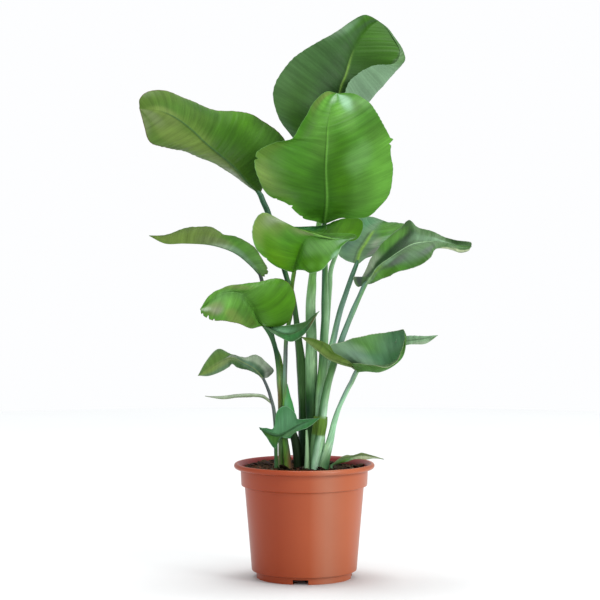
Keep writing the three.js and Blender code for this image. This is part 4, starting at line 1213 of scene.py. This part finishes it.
def tissue(name, band, fine, contrast, roughness, depth):
    """Living leaf tissue: the painted tint, lighter and darker in streaks along the fibres, in relief."""
    material, tree, shader = new_material(name)
    grain = kept_at_points(tree, "grain")
    fibre = kept_at_points(tree, "fibre")
    streaks = use_group(tree, FIBRES, {"Grain": grain, "Fibre": fibre, "Band": band, "Fine": fine})
    clouds = use_group(tree, MOTTLE, {"Cloud": 22.0, "Speck": 420.0})
    light = ranged(tree, streaks.outputs["Shade"], 0.32, 0.68, 1 - contrast, 1 + contrast)
    cloud = ranged(tree, clouds.outputs["Clouds"], *NOISE_SPAN, 0.9, 1.1)
    fill(tree, shader, {
        "Base Color": shaded(tree, kept_at_points(tree, "tint", "Color"), times(tree, light, cloud)),
        "Roughness": ranged(tree, clouds.outputs["Specks"], *NOISE_SPAN, roughness - 0.06, roughness + 0.08),
        "Normal": relief(tree, streaks.outputs["Height"], depth, 0.0004),
        "Specular IOR Level": 0.1,
    })
    return material


# The plastic of the pot: its ground, painted light that makes its right side lighter, a painted highlight in
# an upright band, and painted shade on its inside
CLAYS = {
    "clay": (0.31, 0.045, 0.010, 1),
    "faded clay": (0.46, 0.115, 0.042, 1),
    "worn clay": (0.43, 0.145, 0.078, 1),
    "inner painted shade": (0.2, 0.018, 0.016, 1),
}


def pot_material():
    """Satin moulded plastic the colour of fired clay, faintly clouded, with painted light on its right, a
    painted highlight band and painted shade inside.
    """
    material, tree, shader = new_material("terracotta plastic")
    clouds = use_group(tree, MOTTLE, {"Cloud": 9.0, "Speck": 900.0})
    here = tree.nodes.new("ShaderNodeTexCoord").outputs["Object"]
    parts = add(tree, "SeparateXYZ", {"Vector": here}).outputs
    x, y, z = (parts[k] for k in "XYZ")
    cloud = ranged(tree, clouds.outputs["Clouds"], 0.35, 0.65, 0.96, 1.04)
    # Painted light: the plastic grows lighter from the left of the pot to its right
    painted_light = ranged(tree, x, -0.045, 0.075, 0.0, 1.0)
    # Painted highlight: a paler, pinker upright band to the right of the middle
    painted_highlight = times(tree, ranged(tree, x, 0.008, 0.036, 0.0, 1.0), ranged(tree, x, 0.072, 0.044, 0.0, 1.0))
    aside = add(tree, "CombineXYZ", {"X": x, "Y": y}).outputs[0]
    normal = tree.nodes.new("ShaderNodeNewGeometry").outputs["Normal"]
    outward = add(tree, "VectorMath", {0: aside, 1: normal}, operation="DOT_PRODUCT").outputs["Value"]
    # Painted shade: a darker red on the inside wall near the rim
    high = ranged(tree, z, 0.17, 0.18, 0.0, 1.0)
    inner = times(tree, ranged(tree, outward, -0.02, -0.05, 0.0, 1.0), high)
    colour = CLAYS["clay"]
    for mask, paint in ((painted_light, "faded clay"), (painted_highlight, "worn clay"), (inner, "inner painted shade")):
        colour = mixed(tree, mask, colour, CLAYS[paint])
    fill(tree, shader, {
        "Base Color": shaded(tree, colour, cloud),
        "Roughness": ranged(tree, clouds.outputs["Clouds"], *NOISE_SPAN, 0.31, 0.39),
        "Normal": relief(tree, clouds.outputs["Specks"], 0.12, 0.0002),
        "Specular IOR Level": 0.3,
    })
    return material


def soil_material():
    """Damp potting soil: near black to red brown in clouds and specks, rough, with a deep grain."""
    material, tree, shader = new_material("potting soil")
    clouds = use_group(tree, MOTTLE, {"Cloud": 60.0, "Speck": 420.0})
    mask = times(tree, clouds.outputs["Clouds"], clouds.outputs["Specks"])
    mask = ranged(tree, mask, 0.15, 0.38, 0.0, 1.0)
    fill(tree, shader, {
        "Base Color": mixed(tree, mask, (0.013, 0.008, 0.0034, 1), (0.085, 0.04, 0.016, 1)),
        "Roughness": ranged(tree, clouds.outputs["Specks"], *NOISE_SPAN, 0.7, 0.95),
        "Normal": relief(tree, clouds.outputs["Specks"], 0.6, 0.0012),
        "Specular IOR Level": 0.08,
    })
    return material


def crumb_material():
    """Crumbs of bark and clay on the soil, each with its own tint."""
    material, tree, shader = new_material("bark crumbs")
    clouds = use_group(tree, MOTTLE, {"Cloud": 300.0, "Speck": 900.0})
    light = ranged(tree, clouds.outputs["Clouds"], *NOISE_SPAN, 0.6, 1.4)
    fill(tree, shader, {
        "Base Color": shaded(tree, kept_at_points(tree, "tint", "Color"), light),
        "Roughness": ranged(tree, clouds.outputs["Specks"], *NOISE_SPAN, 0.65, 0.9),
        "Specular IOR Level": 0.1,
    })
    return material


def floor_material():
    """A plain white studio floor with the faintest clouds."""
    material, tree, shader = new_material("studio floor")
    clouds = use_group(tree, MOTTLE, {"Cloud": 1.2, "Speck": 30.0})
    mask = ranged(tree, clouds.outputs["Clouds"], *NOISE_SPAN, 0.0, 1.0)
    fill(tree, shader, {
        "Base Color": mixed(tree, mask, (0.7, 0.712, 0.715, 1), (0.72, 0.731, 0.734, 1)),
        "Roughness": 0.9,
        "Specular IOR Level": 0.1,
    })
    return material


# The pieces


def blade_piece(name, leaf, seed):
    """A blade with the lobes that grow from it."""
    skins = [blade_skin(leaf, seed)]
    for k, lobe in enumerate(leaf.get("lobes", [])):
        skins.append(blade_skin(lobe, seed + LOBE_SEED + k))
    place(new_piece("leaf_" + name, skins), "blade_" + name, LEAF)


def stalk_piece(name, leaf, seed):
    """A stalk from inside the soil up to its blade, whose midrib it runs into from below."""
    foot = leaf["stalk"][0]
    rib = np.asarray(leaf["rib"], float)
    sides = [margin_points(leaf[k], leaf["rib"]) for k in ("left", "right")]
    reach = JOIN_REACH / dense_curve(rib)[1][-1]
    here, ahead = read_curve(rib, [reach, reach + JOIN_AHEAD])
    across = read_curve(sides[1], [reach])[0] - read_curve(sides[0], [reach])[0]
    down = -unit(np.cross(across, ahead - here))
    ends = [rib[0] + JOIN_DEPTHS[0] * down, here + JOIN_DEPTHS[1] * down]
    path = [[foot[0], foot[1], ROOTED_Z], *leaf["stalk"], *ends]
    radii = [leaf["thick"][0], *leaf["thick"], JOIN_R]
    skin = bar_skin(path, radii, SKINS[name], seed)
    place(new_piece("petiole_" + name, [skin]), "stalk_" + name, STALK)


def sheath_piece(name, sheath, seed):
    """A clasping leaf foot with its wings."""
    skins = [bar_skin(sheath["path"], sheath["thick"], SKINS["sheath_" + name], seed, SHEATH_RINGS)]
    if "blade" in sheath:
        skins.append(blade_skin(sheath["blade"], seed + WING_SEED))
    place(new_piece("clasp_" + name, skins), "sheath_" + name, SHEATH)


def pot_profile():
    """The pot's section from the axis out under the floor, up the outside, over the lip and down inside."""
    floor_z = FOOT_H - FLOOR_T
    lip_r = LIP_H / 2
    outside = [
        [AXIS_R, floor_z], [FOOT_R - FOOT_WALL, floor_z], [FOOT_R - FOOT_WALL + 0.6, 0], [FOOT_R - 0.6, 0],
        [FOOT_R, 0.6], [FOOT_R + 0.6, FOOT_H - 2], [FOOT_R + 1.1, FOOT_H - 0.5], [FOOT_R + 2.4, FOOT_H],
        [BODY_FOOT_R - 2, FOOT_H + 0.6], [BODY_FOOT_R - 0.6, FOOT_H + 1.2], [BODY_FOOT_R, FOOT_H + 2.4],
        [BODY_TOP_R, STEP_Z - 2.4], [BODY_TOP_R + 0.3, STEP_Z - 1], [BODY_TOP_R + 1, STEP_Z - 0.4],
        [COLLAR_FOOT_R - 1.6, STEP_Z + 0.8], [COLLAR_FOOT_R - 0.4, STEP_Z + 1.4],
        [COLLAR_FOOT_R, STEP_Z + 2.8], [COLLAR_TOP_R, POT_H - LIP_H - 0.6],
        [COLLAR_TOP_R + 0.3, POT_H - LIP_H - 0.1], [COLLAR_TOP_R + 1, POT_H - LIP_H],
    ]
    a = np.linspace(-np.pi / 2, np.pi / 2, LIP_STEPS)
    lip = np.stack([RIM_R - lip_r + lip_r * np.cos(a), POT_H - lip_r + lip_r * np.sin(a)], axis=-1)
    inside = [
        [RIM_R - LIP_H + 2, POT_H - 0.6], [COLLAR_TOP_R - WALL + 3.4, POT_H - LIP_H / 3],
        [COLLAR_TOP_R - WALL + 1, POT_H - LIP_H / 1.6], [COLLAR_TOP_R - WALL, POT_H - LIP_H],
        [COLLAR_FOOT_R - WALL, STEP_Z + 3.4], [BODY_TOP_R - WALL, STEP_Z + 0.6],
        [BODY_FOOT_R - WALL, FOOT_H + 3], [BODY_FOOT_R - WALL - 2.4, FOOT_H], [AXIS_R, FOOT_H],
    ]
    return np.vstack([outside, lip, inside])


def cutters():
    """The notches in the foot ring and the drain holes in the floor, as skins of two rings."""
    skins = []
    for i in range(NOTCHES):
        a = i * 2 * math.pi / NOTCHES - NOTCH_TURN - math.pi / 2
        out = np.array([math.cos(a), math.sin(a)])
        aside = np.array([-out[1], out[0]])
        middle = out * (FOOT_R - FOOT_WALL / 2)
        corners = [(1, -1), (1, 1), (-1, 1), (-1, -1)]
        flat = np.array([middle + 1.5 * FOOT_WALL * x * out + NOTCH_W / 2 * y * aside for x, y in corners])
        low = np.column_stack([flat, np.full(4, -float(CUT_BELOW))])
        high = np.column_stack([flat, np.full(4, float(NOTCH_H))])
        skins.append({"rings": np.stack([low, high])})
    for i in range(DRAINS):
        a = i * 2 * math.pi / DRAINS
        ends = [[DRAIN_R, FOOT_H - 2 * FLOOR_T], [DRAIN_R, FOOT_H + FLOOR_T]]
        middle = DRAIN_RING_R * np.array([math.cos(a), math.sin(a), 0])
        skins.append({"rings": turned_rings(ends, DRAIN_SIDES) + middle})
    return skins


def pot_piece():
    """The turned pot with its notches and drain holes cut out."""
    whole = new_piece("pot_whole", [{"rings": turned_rings(pot_profile(), POT_SIDES)}])
    cutter = new_piece("pot_cutter", cutters())
    cut = whole.modifiers.new("cut", "BOOLEAN")
    cut.operation = "DIFFERENCE"
    cut.solver = "EXACT"
    cut.object = cutter
    bpy.context.view_layer.update()
    ready = whole.evaluated_get(bpy.context.evaluated_depsgraph_get())
    mesh = bpy.data.meshes.new_from_object(ready)
    for used in (whole, cutter):
        bpy.data.objects.remove(used)
    mesh.set_sharp_from_angle(angle=math.radians(SHARP_ANGLE))
    place(new_object("nursery_pot", mesh), "pot", pot_material())


def soil_height(x, y):
    """The soil's height: level, with one broad mound and small lumps, as in the solid."""
    from_top = (x - MOUND["x"]) ** 2 + (y - MOUND["y"]) ** 2
    z = SOIL_Z + MOUND["height"] * np.exp(-from_top / MOUND["reach"] ** 2)
    for height, along, across, turn in LUMPS:
        z = z + height * np.sin(along * x + across * y + turn)
    return z


def soil_grain(x, y):
    """Small clods: a share of the sum of plane waves in random directions, higher the longer they are."""
    rng = np.random.default_rng(CLOD_SEED)
    z = 0 * x
    for _ in range(CLODS):
        size = rng.uniform(*CLOD_SIZES)
        turn, phase = rng.uniform(0, 2 * np.pi, 2)
        along = x * np.cos(turn) + y * np.sin(turn)
        z = z + size / CLOD_FLATNESS * np.sin(2 * np.pi * along / size + phase)
    return z * CLOD_SHARE


def soil_piece():
    """The soil: the inside of the pot filled, with a top of clods that level out at the wall."""
    clear = WALL + 1.2 * GAP
    rim = COLLAR_TOP_R - clear - 0.4
    sides = [
        [AXIS_R, FOOT_H + GAP], [BODY_FOOT_R - clear - 2.6, FOOT_H + GAP],
        [BODY_FOOT_R - clear, FOOT_H + 3.4], [BODY_TOP_R - clear, STEP_Z + 1],
        [COLLAR_FOOT_R - clear, STEP_Z + 4],
    ]
    top = [[r, SOIL_Z] for r in np.linspace(rim, AXIS_R, SOIL_RINGS)]
    rings = turned_rings(sides + top, SOIL_SIDES)
    x, y = rings[len(sides):, :, 0], rings[len(sides):, :, 1]
    inner = np.clip((rim - np.hypot(x, y)) / CLODS_WHOLE, 0, 1)
    share = CLODS_AT_WALL + (1 - CLODS_AT_WALL) * inner
    rings[len(sides):, :, 2] = soil_height(x, y) + soil_grain(x, y) * share
    place(new_piece("potting_soil", [{"rings": rings}]), "soil", soil_material())


def crumbs_piece():
    """Crumbs: squashed bent drums strewn over the soil, each a skin of three rings."""
    rng = np.random.default_rng(CRUMB_SEED)
    r = (COLLAR_TOP_R - CRUMB_CLEAR) * np.sqrt(rng.uniform(0, 1, CRUMBS))
    a = rng.uniform(0, 2 * np.pi, CRUMBS)
    x, y = r * np.cos(a), r * np.sin(a)
    z = soil_height(x, y) + soil_grain(x, y)
    size = rng.gamma(*CRUMB_SIZES, CRUMBS) + CRUMB_LEAST
    long = rng.uniform(*CRUMB_LENGTHS, CRUMBS)
    turn = rng.uniform(0, 2 * np.pi, CRUMBS)
    tilt = rng.uniform(-CRUMB_LEAN, CRUMB_LEAN, CRUMBS)
    kinds = np.array([daylight("umber") * 0.16, daylight("umber") * 0.4, daylight("plum") * 0.5,
                      RED_BARK, daylight("khaki") * 0.35])
    kind = rng.choice(len(kinds), CRUMBS, p=CRUMB_SHARES)
    around = 2 * np.pi * np.arange(CRUMB_SIDES) / CRUMB_SIDES
    grid = (len(CRUMB_HEIGHTS), CRUMB_SIDES)
    heights = np.array(CRUMB_HEIGHTS)[:, None]
    breadths = np.array(CRUMB_BREADTHS)[:, None]
    skins = []
    for i in range(CRUMBS):
        spread = breadths * rng.uniform(*CRUMB_ROUGH, grid)
        level = heights + rng.uniform(-CRUMB_UNEVEN, CRUMB_UNEVEN, grid)
        px = spread * np.cos(around) * long[i]
        py = spread * np.sin(around)
        pz = level * CRUMB_FLATNESS + tilt[i] * px
        c, s = math.cos(turn[i]), math.sin(turn[i])
        ring = np.stack([px * c - py * s, px * s + py * c, pz], axis=-1) * size[i]
        ring = ring + np.array([x[i], y[i], z[i] + CRUMB_RAISED * size[i]])
        skins.append({"rings": ring, "colour": np.broadcast_to(kinds[kind[i]], ring.shape)})
    piece = new_piece("soil_crumbs", skins)
    piece.data.polygons.foreach_set("use_smooth", np.zeros(len(piece.data.polygons), bool))
    piece.data.materials.append(crumb_material())
    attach(piece, BODY)


# The studio


def aim(thing, target):
    """Turns a camera or a lamp to look at a place."""
    thing.rotation_euler = (Vector(target) - thing.location).to_track_quat("-Z", "Y").to_euler()


def add_camera():
    """The camera, at the photograph's viewing angle."""
    camera = new_object("camera", bpy.data.cameras.new("camera"))
    camera.data.sensor_width = SENSOR_MM
    camera.data.lens = LENS_MM
    camera.data.clip_end = CLIP_END
    camera.location = EYE
    aim(camera, TARGET)
    bpy.context.scene.camera = camera


def add_lamp(name, at, target, side, power):
    """A soft box: a square lamp of the given side."""
    lamp = bpy.data.lights.new(name, "AREA")
    lamp.shape = "SQUARE"
    lamp.size = side
    lamp.energy = power
    thing = new_object(name, lamp)
    thing.location = at
    aim(thing, target)


def add_floor():
    """A wide round floor: a flat drum whose top runs in rings from the edge to the middle."""
    top = [[r, 0.0] for r in np.geomspace(FLOOR_R, FLOOR_MIDDLE_R, FLOOR_RINGS)]
    rings = turned_rings([[FLOOR_R, -FLOOR_DEPTH], *top], FLOOR_SIDES)
    floor = new_piece("floor", [{"rings": rings}], smooth_angle=30)
    floor.data.materials.append(floor_material())


def add_world():
    """An even white room: bright where the camera looks, softer as a light."""
    world = bpy.data.worlds.new("studio")
    bpy.context.scene.world = world
    world.use_nodes = True
    tree = world.node_tree
    path = tree.nodes.new("ShaderNodeLightPath")
    strength = ranged(tree, path.outputs["Is Camera Ray"], 0.0, 1.0, ROOM_LIGHT, 1.0)
    fill(tree, tree.nodes["Background"], {"Strength": strength, "Color": ROOM_COLOUR})


FIBRES = fibres_group()
MOTTLE = mottle_group()

add_camera()
add_world()
add_floor()
for name, lamp in LAMPS.items():
    add_lamp(name, **lamp)
bpy.context.scene.view_settings.view_transform = "Standard"

LEAF = tissue("leaf blade", band=120.0, fine=800.0, contrast=0.23, roughness=0.42, depth=0.35)
STALK = tissue("leaf stalk", band=420.0, fine=2200.0, contrast=0.32, roughness=0.45, depth=0.3)
SHEATH = tissue("clasping sheath", band=300.0, fine=1800.0, contrast=0.16, roughness=0.5, depth=0.3)

for seed, (name, leaf) in enumerate(LEAVES.items()):
    blade_piece(name, leaf, seed + 1)
    if "stalk" in leaf:
        stalk_piece(name, leaf, seed + STALK_SEED)
for seed, (name, sheath) in enumerate(SHEATHS.items()):
    sheath_piece(name, sheath, seed + SHEATH_SEED)
pot_piece()
soil_piece()
crumbs_piece()
